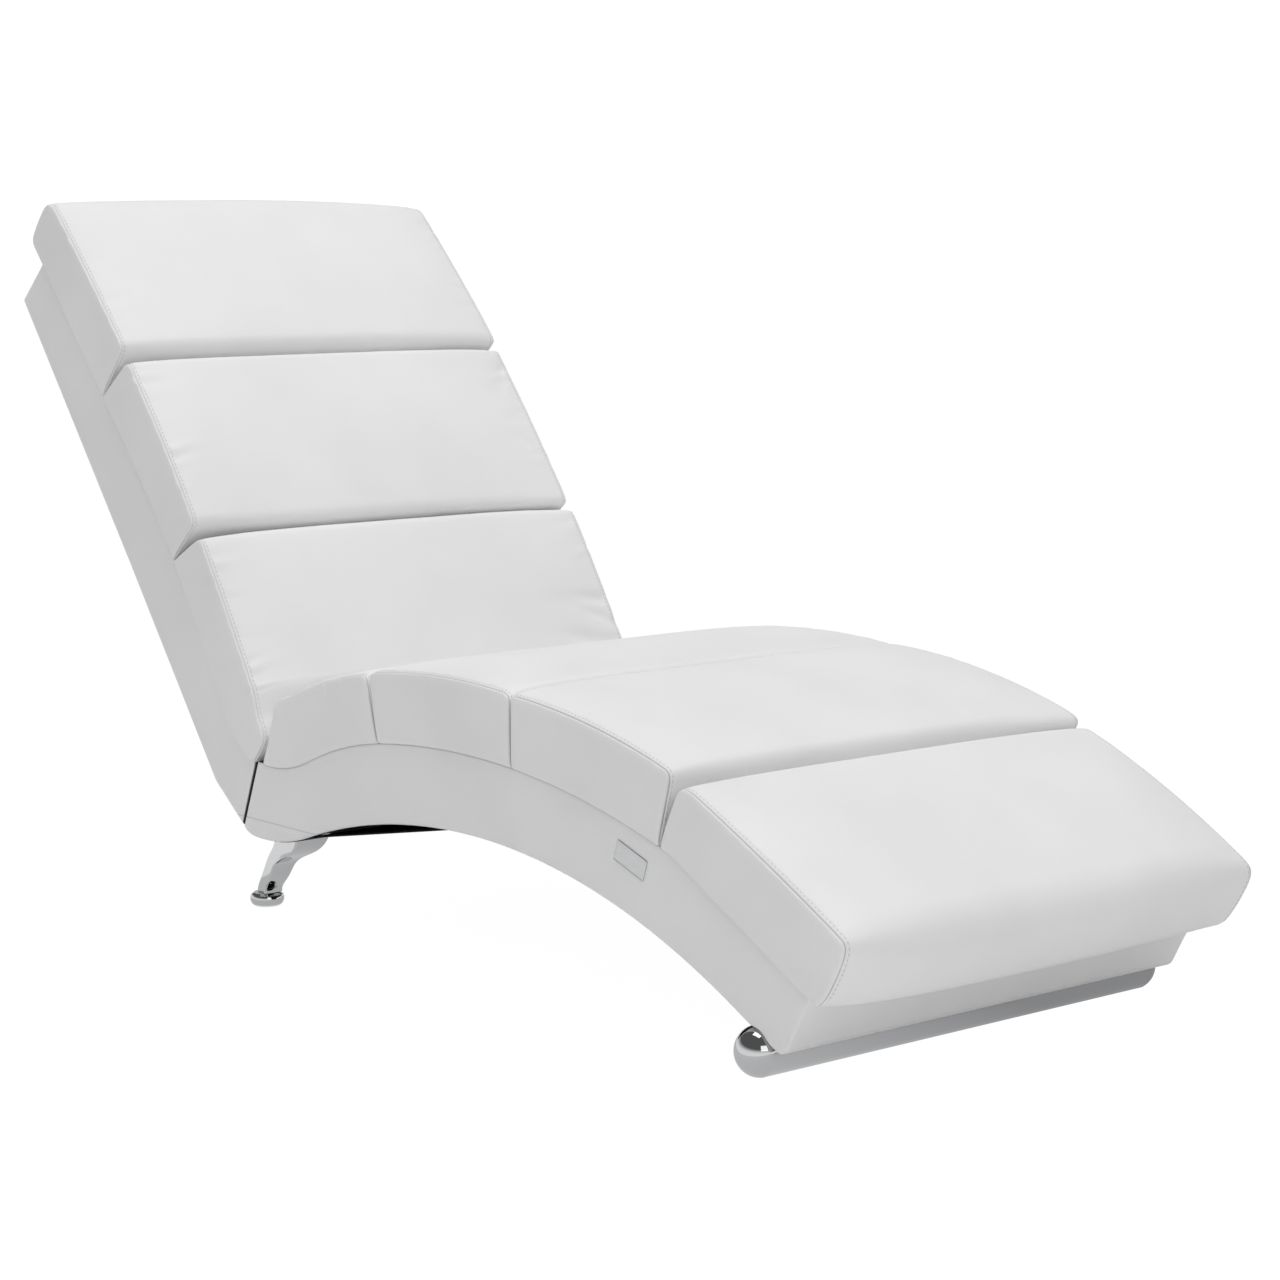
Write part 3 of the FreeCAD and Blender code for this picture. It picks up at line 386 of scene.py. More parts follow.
plainCushion = {
    "lowCut": (3.0, 3.0), "bulge": (0.0, 0.0), "sideBack": (0.0, 0.0), "skew": (0.0, 0.0),
    "far": (0.0, 0.0, 0.0), "notch": (True, True), "gather": 1.0, "gapS": 4.5, "creases": (), "tucks": (),
    "fall": None,
}
cushions = {
    "head": {
        "path": "back", "low": (-33.0, 212.5), "lean": (-7.0, -9.0), "tops": (68.0, 74.0, 77.0),
        "lowCut": (10.0, 3.0), "topCut": (22.0, 11.0), "midCut": (26.0, 8.5), "crown": (10.0, 11.0, 7.0),
        "drop": (0.0, 2.0), "swell": (3.0, 5.6), "bulge": (5.0, 0.0), "skew": (-10.0, 10.0),
        "far": (-3.0, 0.0, 0.0), "notch": (False, True), "gather": 0.8, "dark": 0.2, "seed": 3},
    "shoulder": {
        "path": "back", "low": (213.5, 454.0), "lean": (9.0, -9.0), "tops": (75.0, 69.0, 66.0),
        "topCut": (11.0, 11.0), "midCut": (9.0, 8.5), "crown": (7.0, 10.0, 8.0), "drop": (1.5, 2.0),
        "swell": (5.6, 5.6), "skew": (0.0, 11.0), "far": (-1.0, -2.5, -1.0), "dark": 0.25, "seed": 11,
        "creases": ((250.0, 268.0, 300.0, 236.0, 7.0, 1.6), (392.0, 268.0, 360.0, 240.0, 7.0, 1.5))},
    "lumbar": {
        "path": "back", "low": (455.0, 733.0), "lean": (9.0, 9.0), "tops": (68.0, 67.0, 77.0),
        "topCut": (11.0, 14.0), "midCut": (9.0, 14.0), "crown": (6.0, 12.0, 9.0), "drop": (2.5, 0.0),
        "swell": (5.6, 3.0), "far": (0.0, 1.0, 0.0), "notch": (True, False), "dark": 0.25, "seed": 17,
        "fall": (645.0, 0.0041),
        "creases": ((589.0, 262.0, 583.0, 224.0, 7.0, 3.2), (620.0, 268.0, 602.0, 232.0, 6.5, 3.0),
                    (648.0, 262.0, 632.0, 196.0, 8.0, 3.0), (596.0, 214.0, 584.0, 186.0, 7.0, 2.0))},
    "hip": {
        "path": "seat", "low": (14.0, 253.5), "lean": (42.0, -8.0), "tops": (79.0, 75.5, 75.0),
        "topCut": (27.0, 12.0), "midCut": (18.0, 9.0), "crown": (4.0, 7.0, 7.0), "drop": (0.0, 1.5),
        "swell": (0.0, 2.2), "notch": (False, True), "dark": 0.35, "seed": 23, "gapS": 2.6,
        "tucks": ((150.0, 2.2, 1.8, 16.0), (158.5, 2.0, 2.2, 20.0), (167.0, 2.2, 2.4, 22.0),
                  (176.0, 2.2, 2.3, 20.0), (186.0, 2.4, 2.0, 18.0), (196.5, 2.2, 1.7, 15.0))},
    "seat": {
        "path": "seat", "low": (254.5, 492.5), "lean": (-3.0, -6.0), "tops": (76.0, 75.5, 73.5),
        "topCut": (10.0, 13.0), "midCut": (8.0, 7.0), "crown": (8.0, 12.0, 13.0), "drop": (1.5, 1.0),
        "swell": (1.0, 0.5), "gather": 0.6, "dark": 0.42, "seed": 31},
    "thigh": {
        "path": "seat", "low": (493.5, 731.5), "lean": (-5.0, -2.0), "tops": (73.5, 74.5, 76.0),
        "topCut": (11.0, 12.0), "midCut": (7.0, 9.0), "crown": (12.5, 15.5, 8.0), "drop": (1.0, 3.0),
        "swell": (0.5, 3.5), "skew": (0.0, 20.0), "far": (2.0, 5.0, 7.0), "gather": 0.5, "dark": 0.6,
        "seed": 37},
    "leg": {
        "path": "seat", "low": (733.5, 999.5), "lean": (8.0, 3.0), "tops": (72.0, 74.0, 74.0),
        "lowCut": (3.0, 18.0), "topCut": (13.0, 15.0), "midCut": (14.0, 38.0), "crown": (6.0, 16.0, 15.0),
        "drop": (2.5, 0.0), "swell": (3.8, 3.5), "bulge": (0.0, 7.0), "sideBack": (0.0, 13.0),
        "skew": (-9.0, 4.0), "far": (5.0, 11.0, 7.0), "notch": (True, False), "gather": 0.4, "dark": 0.5,
        "seed": 41},
}
sewing = {
    "seamHalf": 272.0, "halfWidth": 275.0, "lift": 0.1,
    "nearY": (0.0, 0.7, 1.5, 2.2, 2.8, 3.4, 4.0, 5.0, 7.0, 10.0, 14.0, 19.0, 26.0, 34.0), "gapY": 21.0,
    "nearS": (0.0, 1.0, 2.2, 4.0, 6.5, 9.5, 13.5, 19.0),
    "nearO": (0.0, 1.0, 2.2, 4.0, 6.5, 10.0, 15.0), "gapO": 5.5,
    "seamDepth": 1.1, "seamReach": 0.9, "rowIndex": 5, "rowOff": 3.4, "rowDepth": 0.45, "rowReach": 0.8,
    "rowDark": 0.06, "puff": 3.4, "puffReach": 9.0, "pillow": 0.7, "tuck": 2.2, "tuckReach": 3.0,
    "seamIn": 0.7, "dropReach": 10.0, "swellReach": 55.0, "notchHump": 6.75, "openHump": 4.0,
    "boxy": 6, "pucker": 2.2, "puckerReach": 20.0, "puckerLeast": 0.6, "puckerMore": 0.8,
    "puckerStart": 2.5, "sidePucker": 1.9, "sideReach": 16.0, "sideStart": 3.0, "sideLeast": 0.5,
    "sideShift": 40.0, "cloud": 0.6, "cloudSlants": (0.6, 1.3, 0.4),
    "gathers": (17.0, 25.0, 38.0), "uneven": (47.0, 83.0, 140.0), "broad": (150.0, 95.0, 210.0),
    "sideGathers": (16.0, 23.0, 35.0), "gatherSlant": 0.15, "tuckStart": 2.0, "footRise": 12.0,
    "creaseAbove": 0.6,
}


def through(values, part):
    # the curve of second degree through three values: at the start, half way and at the end
    first, middle, last = values
    return first * (1 - part) * (1 - 2 * part) + 4 * middle * part * (1 - part) + last * part * (2 * part - 1)


def waves(seed, lengths):
    # a sum of waves of the given lengths, with phases from the seed, that never rises above one
    phases = np.random.default_rng(seed).uniform(0, 2 * np.pi, len(lengths))
    return lambda u: sum(np.sin(2 * np.pi * u / length + phase)
                         for length, phase in zip(lengths, phases)) / len(lengths)


def sideGrids(look, a, b):
    # two side views, one by the seams and one for the middle of the width, where the corners differ
    low, lean, tops, lift = look["low"], look["lean"], look["tops"], sewing["lift"]
    corners = [np.array(spot) for spot in (
        (low[0], lift), (low[1], lift), (low[1] + lean[1], tops[2]), (low[0] + lean[0], tops[0]))]

    def side(first, share, cuts):
        before, start, end, after = [corners[(first + turn) % 4] for turn in (-1, 0, 1, 2)]
        return roundedSide(before, start, end, after, (cuts[first], cuts[(first + 1) % 4]), share)

    grids = []
    for topCut in (look["topCut"], look["midCut"]):
        cuts = (*look["lowCut"], topCut[1], topCut[0])
        top, rear = side(2, 1 - a[::-1], cuts)[::-1], side(3, 1 - b[::-1], cuts)[::-1]
        grids.append(fillSides(side(0, a, cuts), top, rear, side(1, b, cuts), a, b))
    return grids


def buildCushion(name, look):
    sew, path = sewing, paths[look["path"]]
    low, lean, tops = look["low"], look["lean"], look["tops"]
    lift, height, length = sew["lift"], max(tops), low[1] - low[0]
    stopS, stopO = spread(length, sew["nearS"], look["gapS"]), spread(height, sew["nearO"], sew["gapO"])
    stopY = spread(2 * sew["seamHalf"], sew["nearY"], sew["gapY"]) - sew["seamHalf"]
    a, b = stopS / stopS[-1], stopO / stopO[-1]
    bySeam, byMiddle = sideGrids(look, a, b)
    i, j, k, quads, number = skinGrid(len(a), len(b), len(stopY), allFaces)
    normals = outlineOf(bySeam)

    y = stopY[k].copy()
    across = np.abs(y) / sew["halfWidth"]
    inward = 1 - across[:, None] ** sew["boxy"]
    s, o = (bySeam[i, j] * (1 - inward) + byMiddle[i, j] * inward).T
    normal = normals[i, j]
    isCap = (k == 0) | (k == len(stopY) - 1)
    inner = isCap & (i > 0) & (i < len(a) - 1) & (j > 0) & (j < len(b) - 1)
    share = np.clip((o - lift) / height, 0, 1)
    fromRear, fromFront = s - low[0] - lean[0] * share, low[1] + lean[1] * share - s
    part = np.clip((s - low[0]) / length, 0, 1)

    # crown across the width, and the hump of the top line along the path
    farSide = np.clip(y / sew["halfWidth"], 0, 1) ** 2
    o += (tops[1] - (tops[0] + tops[2]) / 2) * 4 * part * (1 - part) * share
    o += through(look["crown"], part) * np.sqrt(1 - np.clip(across, 0, 1) ** sew["boxy"]) * share
    o += through(look["far"], part) * farSide * share
    # past the start of the fall the top drops by the square of the way, as the path turns up under it
    start, rate = look["fall"] or (low[1], 0.0)
    o -= rate * np.clip(s - start, 0, None) ** 2 * share
    # ends that swell: towards the neighbour in the middle of the width, by a hump that reaches one at two
    # thirds of the height, or out into the open, by one that reaches it half way up
    for end, sign, off in ((0, -1, fromRear), (1, 1, fromFront)):
        closing = np.clip(1 - off / sew["swellReach"], 0, 1) ** 2
        if look["notch"][end]:
            shape = sew["notchHump"] * share ** 2 * (1 - share) * (1 - across ** 4)
            o -= (look["drop"][end] * np.exp(-np.clip(off, 0, None) / sew["dropReach"]) * share ** 2
                  * (1 - across ** 8))
        else:
            shape = sew["openHump"] * share * (1 - share)
        s += sign * closing * (look["swell"][end] * shape + look["bulge"][end] * (1 - across ** 2)
                               - look["sideBack"][end] * np.clip(-y / sew["halfWidth"], 0, 1) ** 8
                               + look["skew"][end] * farSide * share)

    # the groove of the seam, drawn in and darkened with painted shade, and the groove of the stitched row,
    # drawn in with a little painted shade
    fromSeam = sew["seamHalf"] - np.abs(y)
    sewn = np.where((j == 0) & ~isCap, 0.0, 1.0) * np.clip(share * sew["footRise"], 0, 1)
    onSeam = isCap & ~inner
    seam = np.exp(-(fromSeam / sew["seamReach"]) ** 2) * np.where(inner, 0, 1) * sewn
    row = np.exp(-((fromSeam - sew["rowOff"]) / sew["rowReach"]) ** 2) * sewn
    inset = sew["seamDepth"] * seam + sew["rowDepth"] * row
    dark = look["dark"] * np.where(onSeam, sewn, 0) + sew["rowDark"] * row
    # puckers where the top is gathered by the row, and broad unevenness of the whole top
    gather, uneven = waves(look["seed"], sew["gathers"]), waves(look["seed"] + 1, sew["uneven"])
    away = np.clip(fromSeam - sew["rowOff"], 0, None)
    gathered = np.exp(-away / sew["puckerReach"]) * np.clip(away / sew["puckerStart"], 0, 1)
    turnOf = s + o * np.sign(part - 0.5)
    inset += (sew["pucker"] * look["gather"] * gathered * gather(turnOf + y * sew["gatherSlant"])
              * (sew["puckerLeast"] + sew["puckerMore"] * uneven(turnOf)) * sewn)
    broad, (slant, wideY, wideS) = waves(look["seed"] + 2, sew["broad"]), sew["cloudSlants"]
    inset += sew["cloud"] * broad(s + slant * y) * broad(y * wideY - wideS * s) * share * (1 - across ** 4)
    s -= normal[:, 0] * inset * ~inner
    o -= normal[:, 1] * inset * ~inner

    # side panels puff out from the seam, stay full down the middle and tuck in at the bottom
    def quarter(distance, reach):
        return 1 - np.sqrt(1 - (1 - np.clip(distance / reach, 0, 1)) ** 2)

    fromTop, fromBottom = (1 - b[j]) * height, b[j] * height
    shut = np.maximum.reduce([quarter(off, sew["puffReach"])
                              for off in (fromTop, a[i] * length, (1 - a[i]) * length)])
    out = sew["puff"] * (1 - shut) + sew["pillow"] * np.sin(np.pi * b[j]) * (1 - shut)
    tuckedIn = sew["tuck"] * np.exp(-fromBottom / sew["tuckReach"])
    out -= tuckedIn
    sideGather = waves(look["seed"] + 5, sew["sideGathers"])
    out += (sew["sidePucker"] * look["gather"] * sideGather(s) * np.exp(-fromTop / sew["sideReach"])
            * np.clip(fromTop / sew["sideStart"], 0, 1)
            * (sew["sideLeast"] + uneven(s + sew["sideShift"])))
    for place, wide, deep, reach in look["tucks"]:
        out -= (deep * np.exp(-((s - place) / wide) ** 2) * np.exp(-fromTop / reach)
                * np.clip(fromTop / sew["tuckStart"], 0, 1))
    y += np.sign(y) * np.where(inner, out, 0)
    y -= np.sign(y) * np.where(onSeam, sew["seamIn"] + tuckedIn, 0)
    # each of the creases is a hollow round a line on the top, rounded across by a bell curve
    for startS, startY, endS, endY, wide, deep in look["creases"]:
        run = np.array([endS - startS, endY - startY])
        done = np.clip(((s - startS) * run[0] + (y - startY) * run[1]) / (run @ run), 0, 1)
        off = np.hypot(s - startS - done * run[0], y - startY - done * run[1])
        o -= deep * np.exp(-(off / wide) ** 2) * share * (share > sew["creaseAbove"])

    spots, headings = placeOn(path, s, o)
    points = np.stack([spots[:, 0], y, spots[:, 1]], -1)
    piece = makePiece(name + "CushionCover", points, quads.tolist(), whiteLeather)
    # the painted shade of the seams and rows reaches the leather's colour through this attribute
    piece.data.attributes.new("paintedShadeAndJoint", "FLOAT", "POINT").data.foreach_set("value", np.clip(dark, 0, 1))
    finishWith(piece, "SUBSURF", levels=1, render_levels=1)
    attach(piece, "lounger")
    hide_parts(name + "_cushion", name + "_foam")

    # the lines of the stitched rows, up one end, over the top and down the other
    up, along = np.arange(len(b) - 1), np.arange(len(a))
    rowsI = np.concatenate([0 * up, along, 0 * up + len(a) - 1])
    rowsJ = np.concatenate([up, 0 * along + len(b) - 1, up[::-1]])
    lines = []
    for column in (sew["rowIndex"], len(stopY) - 1 - sew["rowIndex"]):
        row = number[rowsI, rowsJ, column]
        plane = normals[rowsI, rowsJ]
        turn = headings[row]
        outward = np.stack([plane[:, 0] * np.cos(turn) - plane[:, 1] * np.sin(turn), 0 * turn,
                            plane[:, 0] * np.sin(turn) + plane[:, 1] * np.cos(turn)], -1)
        lines.append((points[row], outward))
    return lines


stitch = {"pitch": 5.6, "length": 4.0, "radius": 0.34, "thin": 0.55, "raise": 0.12, "sink": 0.3,
          "rings": 5, "sides": 6, "endGap": 14.0}


def stitchRow(points, outward, look):
    # each stitch is a short tube along the row: a circle carried over an arch that dips in at both ends
    done = np.concatenate([[0], np.cumsum(np.linalg.norm(np.diff(points, axis=0), axis=1))])
    starts = np.arange(look["endGap"], done[-1] - look["endGap"], look["pitch"])
    part = np.linspace(0, 1, look["rings"])
    along = starts[:, None] + part[None] * look["length"]
    centre = np.stack([np.interp(along, done, points[:, axis]) for axis in range(3)], -1)
    normal = unit(np.stack([np.interp(along, done, outward[:, axis]) for axis in range(3)], -1))
    tangent = unit(np.gradient(centre, axis=1))
    arch = np.sin(np.pi * part)[None, :, None]
    centre = centre + normal * (look["raise"] * arch - look["sink"] * (1 - arch))
    binormal = np.cross(tangent, normal)
    angle = np.linspace(0, 2 * np.pi, look["sides"], endpoint=False)
    radius = look["radius"] * (look["thin"] + (1 - look["thin"]) * arch)[..., None]
    circle = (np.cos(angle)[:, None] * normal[:, :, None]
              + np.sin(angle)[:, None] * binormal[:, :, None]) * radius
    tube = centre[:, :, None] + circle
    count, rings, sides = tube.shape[:3]
    number = np.arange(count * rings * sides).reshape(count, rings, sides)
    here, there = number[:, :-1], number[:, 1:]
    quads = np.stack([here, np.roll(here, -1, 2), np.roll(there, -1, 2), there], -1).reshape(-1, 4)
    ends = [number[:, 0, ::-1], number[:, -1]]
    return tube.reshape(-1, 3), quads, np.concatenate(ends)


def joinParts(parts):
    points, faces, offset = [], [], 0
    for spots, quads, ends in parts:
        points.append(spots)
        faces += (quads + offset).tolist() + (ends + offset).tolist()
        offset += len(spots)
    return np.concatenate(points), faces


rows = []
for name, look in cushions.items():
    lines = buildCushion(name, {**plainCushion, **look})
    rows += [stitchRow(points, outward, stitch) for points, outward in lines]
print("cushions", len(cushions))

topstitching = makePiece("topstitching", *joinParts(rows), thread)
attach(topstitching, "lounger")
print("stitches", sum(len(part[2]) // 2 for part in rows))

# Base covers: leather drawn over the frames of the seat unit and the back unit

covers = {
    "half": 270.5, "thickness": 2.6, "rim": 9.0, "round": 4.0, "roundMiddle": 0.293,
    "near": (0.0, 2.0, 3.0, 4.0, 8.0, 13.0), "gapS": 5.0, "gapO": 4.0, "gapY": 18.0,
    "toeCut": 13.0, "toeSteps": 8, "under": 0.6,
    "backRear": ((0.0, -73.0), (400.0, -93.5), (689.0, -75.5)), "backLength": 735.0, "backHeight": 80.0,
    "backShort": 12.0, "backTurn": 0.97,
}


def quarterRound(distance, reach):
    # how far a quarter round has drawn in at a distance from its corner; nearer than the middle of the
    # round it stays as it is there
    away = reach - np.clip(distance, covers["roundMiddle"] * reach, reach)
    return reach - np.sqrt(np.clip(reach ** 2 - away ** 2, 0, None))


def drawnCover(name, bottom, top, rear, front, a, b, sizes, faces, look, replaced, jointEnd):
    # a skin over a block seen from the side: caps near and far, and strips across its open ends,
    # with rounded edges between them
    length, height = sizes
    stopY = spread(2 * look["half"], look["near"], look["gapY"]) - look["half"]
    grid = fillSides(bottom, top, rear, front, a, b)
    i, j, k, quads = skinGrid(len(a), len(b), len(stopY), faces)[:4]
    normal = outlineOf(grid)[i, j]
    x, z, y = grid[i, j, 0].copy(), grid[i, j, 1].copy(), stopY[k].copy()
    isCap = (k == 0) | (k == len(stopY) - 1)
    between = (i > 0) & (i < len(a) - 1)
    onRing = ~between | (j == 0)
    reach = look["round"]
    draw = quarterRound(look["half"] - np.abs(y), reach) * onRing
    x -= normal[:, 0] * draw
    z -= normal[:, 1] * draw
    rearOff, frontOff, lowOff = a[i] * length, (1 - a[i]) * length, b[j] * height
    capDraw = quarterRound(rearOff, reach) + quarterRound(frontOff, reach) + quarterRound(lowOff, reach)
    y -= np.sign(y) * np.where(isCap, np.minimum(capDraw, reach), 0)
    # the face at the joint and the edges that turn in to it are drawn near black, by the same mix as the
    # painted shade of the seams
    joint = np.where(i == jointEnd % len(a), 1.0, 0.0)
    points = np.stack([x, y, z], -1)
    # of a strip that runs below, only the rims by the sides are leather
    within = np.abs(y[quads]).min(1) < look["half"] - look["rim"]
    quads = quads[~(within & (j[quads] == 0).all(1))]
    used = np.zeros(len(points), bool)
    used[quads.ravel()] = True
    renumber = np.cumsum(used) - 1
    piece = makePiece(name, points[used], renumber[quads].tolist(), baseLeather)
    piece.data.attributes.new("paintedShadeAndJoint", "FLOAT", "POINT").data.foreach_set("value", joint[used])
    finishWith(piece, "SOLIDIFY", thickness=look["thickness"] * millimetre, offset=-1.0)
    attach(piece, "lounger")
    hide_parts(*replaced)


def seatCover(look):
    length, height = seatPath["total"], sideView["seatDepth"]
    a = spread(length, look["near"], look["gapS"]) / length
    b = spread(height, look["near"], look["gapO"]) / height
    bottom = placeOn(bellyPath, a * bellyPath["total"], -look["under"])[0]
    top = placeOn(seatPath, a * length, 0)[0]
    rear = bottom[0] + (top[0] - bottom[0]) * b[:, None]
    front = bottom[-1] + (top[-1] - bottom[-1]) * b[:, None]
    # the toe: bottom and front meet in a curve of second degree that leaves each at the cut
    tip, cut = bottom[-1].copy(), look["toeCut"]
    leave = tip + cut * unit(bottom[-1 - look["toeSteps"]] - tip)
    join = tip + cut * unit(front[-1] - tip)
    below, above = np.linalg.norm(bottom - tip, axis=1), np.linalg.norm(front - tip, axis=1)
    bottom[below < cut] = bend(leave, tip, join, 0.5 - 0.5 * below[below < cut] / cut)
    front[above < cut] = bend(leave, tip, join, 0.5 + 0.5 * above[above < cut] / cut)

    def clear(points):
        # the leather's lower edge is hollowed where the tube lies under it
        middle, radius = np.array(sideView["tube"]), sideView["tubeRadius"]
        off = points - middle
        far = np.linalg.norm(off, axis=1, keepdims=True)
        return np.where(far < radius, middle + off / far * radius, points)

    bottom, front = clear(bottom), clear(front)
    drawnCover("seatBaseCover", bottom, top, rear, front, a, b, (length, height), allFaces[:-1], look,
               ("seat_base_cover",), 0)


def backCover(look):
    length, height = look["backLength"], look["backHeight"]
    a = spread(length, look["near"], look["gapS"]) / length
    b = spread(height, look["near"], look["gapO"]) / height
    heel, high = jointSpot(0, -sideView["gap"]), jointSpot(sideView["backDepth"], -sideView["gap"])
    stations = [placeOn(backPath, *spot)[0] for spot in look["backRear"]]
    corners = np.array(stations + [heel])
    done = np.concatenate([[0], np.cumsum(np.linalg.norm(np.diff(corners, axis=0), axis=1))])
    spots = a * done[-1]
    bottom = np.stack([np.interp(spots, done, corners[:, axis]) for axis in (0, 1)], -1)
    # the last of the top edge bends over to the joint
    top = placeOn(backPath, a * (length - look["backShort"]), 0)[0]
    top += (high - top[-1]) * np.clip((a - look["backTurn"]) / (1 - look["backTurn"]), 0, 1)[:, None]
    rear = bottom[0] + (top[0] - bottom[0]) * b[:, None]
    front = bottom[-1] + (top[-1] - bottom[-1]) * b[:, None]
    drawnCover("backBaseCover", bottom, top, rear, front, a, b, (length, height), allFaces[:-1],
               {**look, "rim": length}, ("back_base_cover",), -1)


seatCover(covers)
backCover(covers)
print("base covers")

# Label plate: pressed metal with a raised rim, laid on the near side panel
# rings: how far inside the edge, how far off the panel, and the radius of its corners
plate = {"along": 694.0, "down": 31.5, "turn": 4.0, "length": 48.0, "height": 22.5, "side": -270.5,
         "steps": 6,
         "rings": ((0.0, 0.0, 1.5), (0.0, 0.9, 1.5), (0.35, 1.2, 1.3), (1.1, 1.2, 1.0), (1.45, 0.8, 0.9))}


def plateRing(look, inset, lift, corner):
    # one ring of a rectangle with round corners, lifted off the panel
    halfX, halfZ = look["length"] / 2 - inset - corner, look["height"] / 2 - inset - corner
    steps = look["steps"]
    turn = np.radians(np.concatenate([start + np.linspace(0, 90, steps) for start in (0, 90, 180, 270)]))
    signX, signZ = np.repeat([1, -1, -1, 1], steps), np.repeat([1, 1, -1, -1], steps)
    x, z = signX * halfX + corner * np.cos(turn), signZ * halfZ + corner * np.sin(turn)
    (place,), (heading,) = placeOn(seatPath, [look["along"]], -look["down"])
    angle = heading - math.radians(look["turn"])
    return np.stack([place[0] + x * math.cos(angle) - z * math.sin(angle), 0 * x + look["side"] - lift,
                     place[1] + x * math.sin(angle) + z * math.cos(angle)], -1)


def buildPlate(look):
    points = np.concatenate([plateRing(look, *ring) for ring in look["rings"]])
    number = np.arange(len(points)).reshape(len(look["rings"]), -1)
    here, there = number[:-1], number[1:]
    quads = np.stack([here, np.roll(here, -1, 1), np.roll(there, -1, 1), there], -1).reshape(-1, 4)
    faces = quads.tolist() + [number[-1].tolist(), number[0, ::-1].tolist()]
    piece = makePiece("labelPlate", points, faces, finishes["bare_plate"], smooth=False)
    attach(piece, "lounger")
    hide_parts("label_plate")


buildPlate(plate)

# Stage, camera and light

# Levels of light: world, the sky by the horizon, and zenith, overhead, as diffuse surfaces see it;
# bright, the backdrop as the camera sees it; dim, the upper sky in mirrors; shadow, the share of the
# floor that takes shadows
stage = {"floor": 40.0, "world": 0.14, "shadow": 0.07, "white": "#FFFFFF", "bright": 1.06, "dim": 0.12,
         "zenith": 0.97}
camera = {"place": (2.703596, -2.12532, 0.81062), "turn": 50.5, "down": 8.69, "focal": 3072.32,
          "picture": 1280.0, "centre": (644.39, 675.032), "sensor": 36.0}
square = np.array([(-1, -1, 0), (1, -1, 0), (1, 1, 0), (-1, 1, 0)])

floorMaterial, tree, body, _ = newMaterial("backdropPaper", in_Roughness=0.9,
                                           in_Base_Color=colour("#F4F4F4"))
rays = addNode(tree, "ShaderNodeLightPath")
seen = addNode(tree, "ShaderNodeMath", [(0, rays.outputs["Is Camera Ray"]),
                                        (1, rays.outputs["Is Glossy Ray"])], operation="MAXIMUM")
share = addNode(tree, "ShaderNodeMath", [(0, seen.outputs[0])], operation="MULTIPLY",
                in_1=1 - stage["shadow"])
glow = addNode(tree, "ShaderNodeEmission", in_Color=colour(stage["white"]), in_Strength=stage["bright"])
both = addNode(tree, "ShaderNodeMixShader", [(0, share.outputs[0]), (1, body.outputs[0]),
                                             (2, glow.outputs[0])])
tree.links.new(both.outputs[0], surfaceOf(tree))
floor = makePiece("paperFloor", square * stage["floor"] / 2 / millimetre, [[0, 1, 2, 3]], floorMaterial,
                  smooth=False)

world = bpy.data.worlds.new("studio")
bpy.context.scene.world = world
world.use_nodes = True
tree = world.node_tree
tree.nodes.clear()
rays = addNode(tree, "ShaderNodeLightPath")
# mirrors see a white room that darkens from a tenth to a third of the way up, and diffuse surfaces a sky
# that brightens towards the zenith
spot = addNode(tree, "ShaderNodeTexCoord").outputs["Generated"]
rise = addNode(tree, "ShaderNodeSeparateXYZ", [("Vector", spot)]).outputs["Z"]
height = addNode(tree, "ShaderNodeMapRange", [("Value", rise)], in_From_Min=0.1, in_From_Max=0.34,
                 in_To_Min=1.0, in_To_Max=stage["dim"])
above = addNode(tree, "ShaderNodeMapRange", [("Value", rise)], in_From_Min=0.15, in_From_Max=1.0,
                in_To_Min=stage["world"], in_To_Max=stage["zenith"])
mirror = addNode(tree, "ShaderNodeMix", [("Factor", rays.outputs["Is Glossy Ray"]), (2, above.outputs[0]),
                                         (3, height.outputs[0])], data_type="FLOAT")
level = addNode(tree, "ShaderNodeMix", [("Factor", rays.outputs["Is Camera Ray"]), (2, mirror.outputs[0])],
                data_type="FLOAT", in_3=stage["bright"])
sky = addNode(tree, "ShaderNodeBackground", [("Strength", level.outputs[0])], in_Color=colour(stage["white"]))
addNode(tree, "ShaderNodeOutputWorld", [("Surface", sky.outputs[0])])
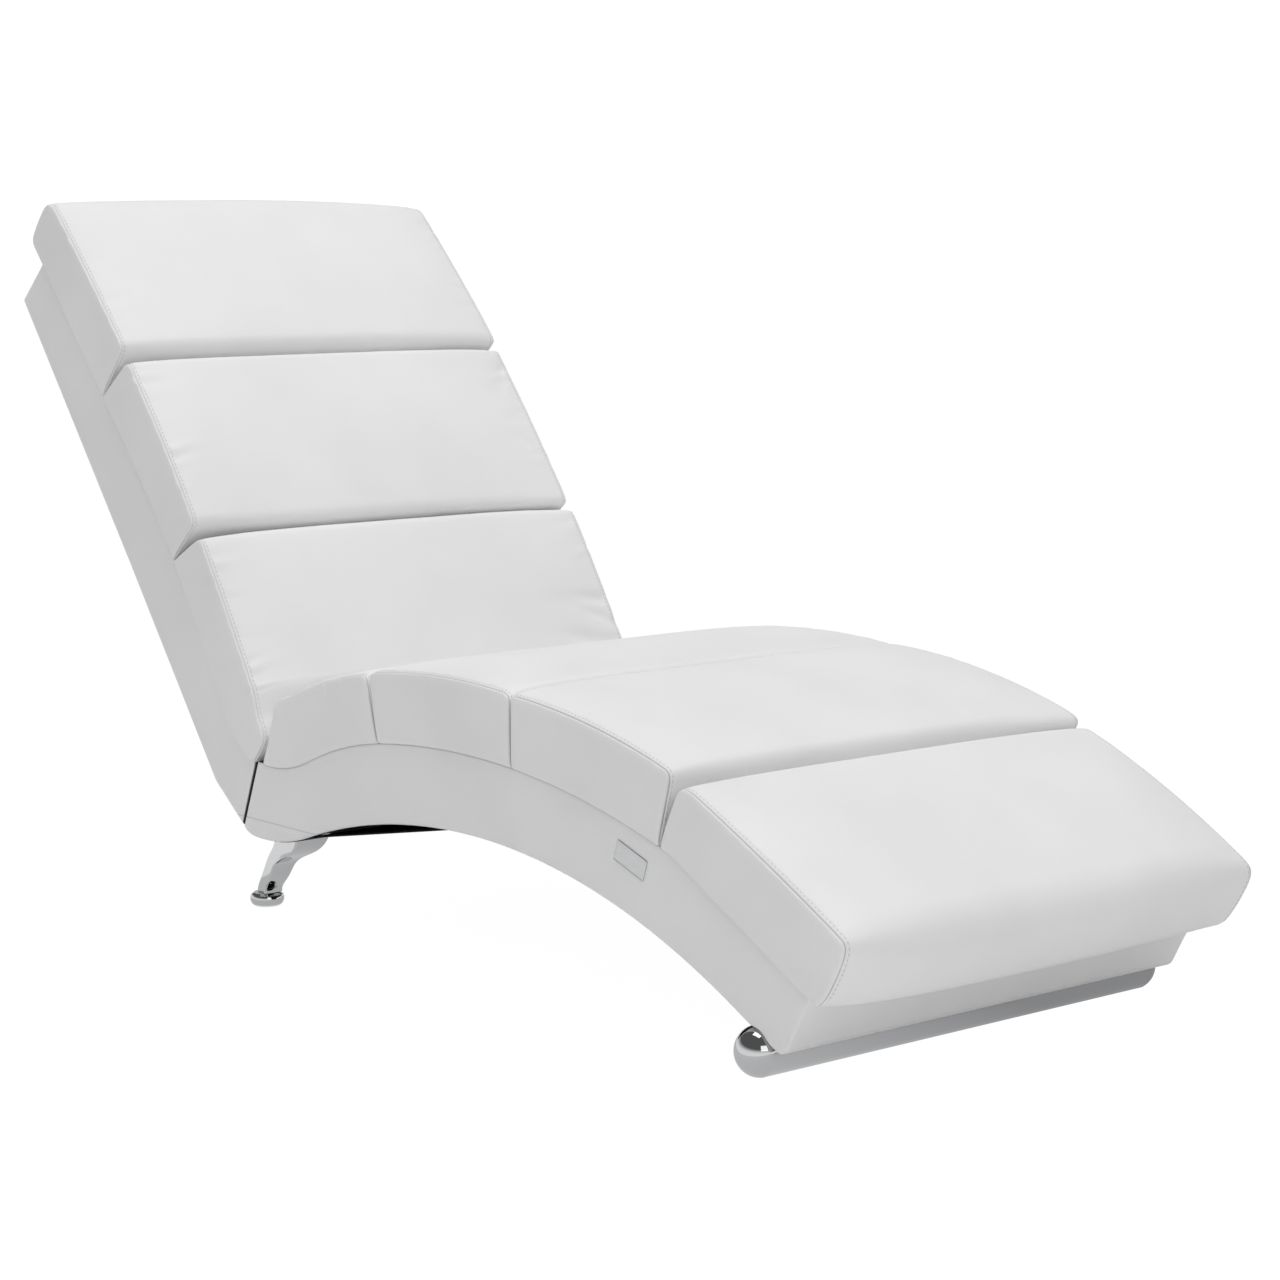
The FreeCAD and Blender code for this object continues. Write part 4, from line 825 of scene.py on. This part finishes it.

# painted reflection: a grey glowing plane on the floor that only mirrors see, standing for the shaded floor
# under the lounger, lighter towards the near side
paintedReflection = {"centre": (0.62, 0.1, 0.002), "half": (1.0, 0.52), "near": "#E8E8E8", "far": "#A6A6A7",
        "from": -0.42, "to": 0.1}
paintedReflectionMaterial, tree, _, spot = newMaterial("paintedReflectionGrey", in_Roughness=1.0)
side = addNode(tree, "ShaderNodeSeparateXYZ", [("Vector", spot)]).outputs["Y"]
reach = addNode(tree, "ShaderNodeMapRange", [("Value", side)], in_From_Min=paintedReflection["from"],
                in_From_Max=paintedReflection["to"])
tone = addNode(tree, "ShaderNodeMix", [("Factor", reach.outputs[0])], data_type="RGBA",
               in_6=colour(paintedReflection["near"]), in_7=colour(paintedReflection["far"]))
glow = addNode(tree, "ShaderNodeEmission", [("Color", tone.outputs[2])])
tree.links.new(glow.outputs[0], surfaceOf(tree))
spots = (np.array(paintedReflection["centre"]) + square * (*paintedReflection["half"], 0)) / millimetre
paintedReflectionSheet = makePiece("paintedReflectionCard", spots, [[0, 1, 2, 3]], paintedReflectionMaterial, smooth=False)
paintedReflectionSheet.visible_camera = paintedReflectionSheet.visible_diffuse = paintedReflectionSheet.visible_shadow = paintedReflectionSheet.visible_transmission = False

lamps = {
    "overheadSoftbox": {"place": (0.2, 0.1, 3.4), "at": (0.1, 0.1, 0.3), "size": (2.8, 2.0),
                        "power": 36.0},
    "frontSoftbox": {"place": (3.5, -1.5, 1.5), "at": (0.3, 0.0, 0.2), "size": (1.8, 1.4),
                     "power": 10.6},
}
for name, look in lamps.items():
    data = bpy.data.lights.new(name, "AREA")
    data.shape, data.size, data.size_y, data.energy = "RECTANGLE", *look["size"], look["power"]
    lamp = bpy.data.objects.new(name, data)
    bpy.context.scene.collection.objects.link(lamp)
    lamp.location = look["place"]
    aim = np.array(look["at"]) - np.array(look["place"])
    tilt, turn = math.acos(-aim[2] / np.linalg.norm(aim)), math.atan2(aim[1], aim[0])
    lamp.rotation_euler = (tilt, 0.0, turn - math.pi / 2)

lens = bpy.data.cameras.new("camera")
lens.sensor_fit, lens.sensor_width = "HORIZONTAL", camera["sensor"]
lens.lens = camera["focal"] / camera["picture"] * camera["sensor"]
lens.shift_x = (camera["picture"] / 2 - camera["centre"][0]) / camera["picture"]
lens.shift_y = (camera["centre"][1] - camera["picture"] / 2) / camera["picture"]
eye = bpy.data.objects.new("camera", lens)
bpy.context.scene.collection.objects.link(eye)
eye.location = camera["place"]
eye.rotation_euler = (math.radians(90 - camera["down"]), 0.0, math.radians(camera["turn"]))
bpy.context.scene.camera = eye
bpy.context.scene.view_settings.view_transform = "Standard"
print("stage, lamps and camera")
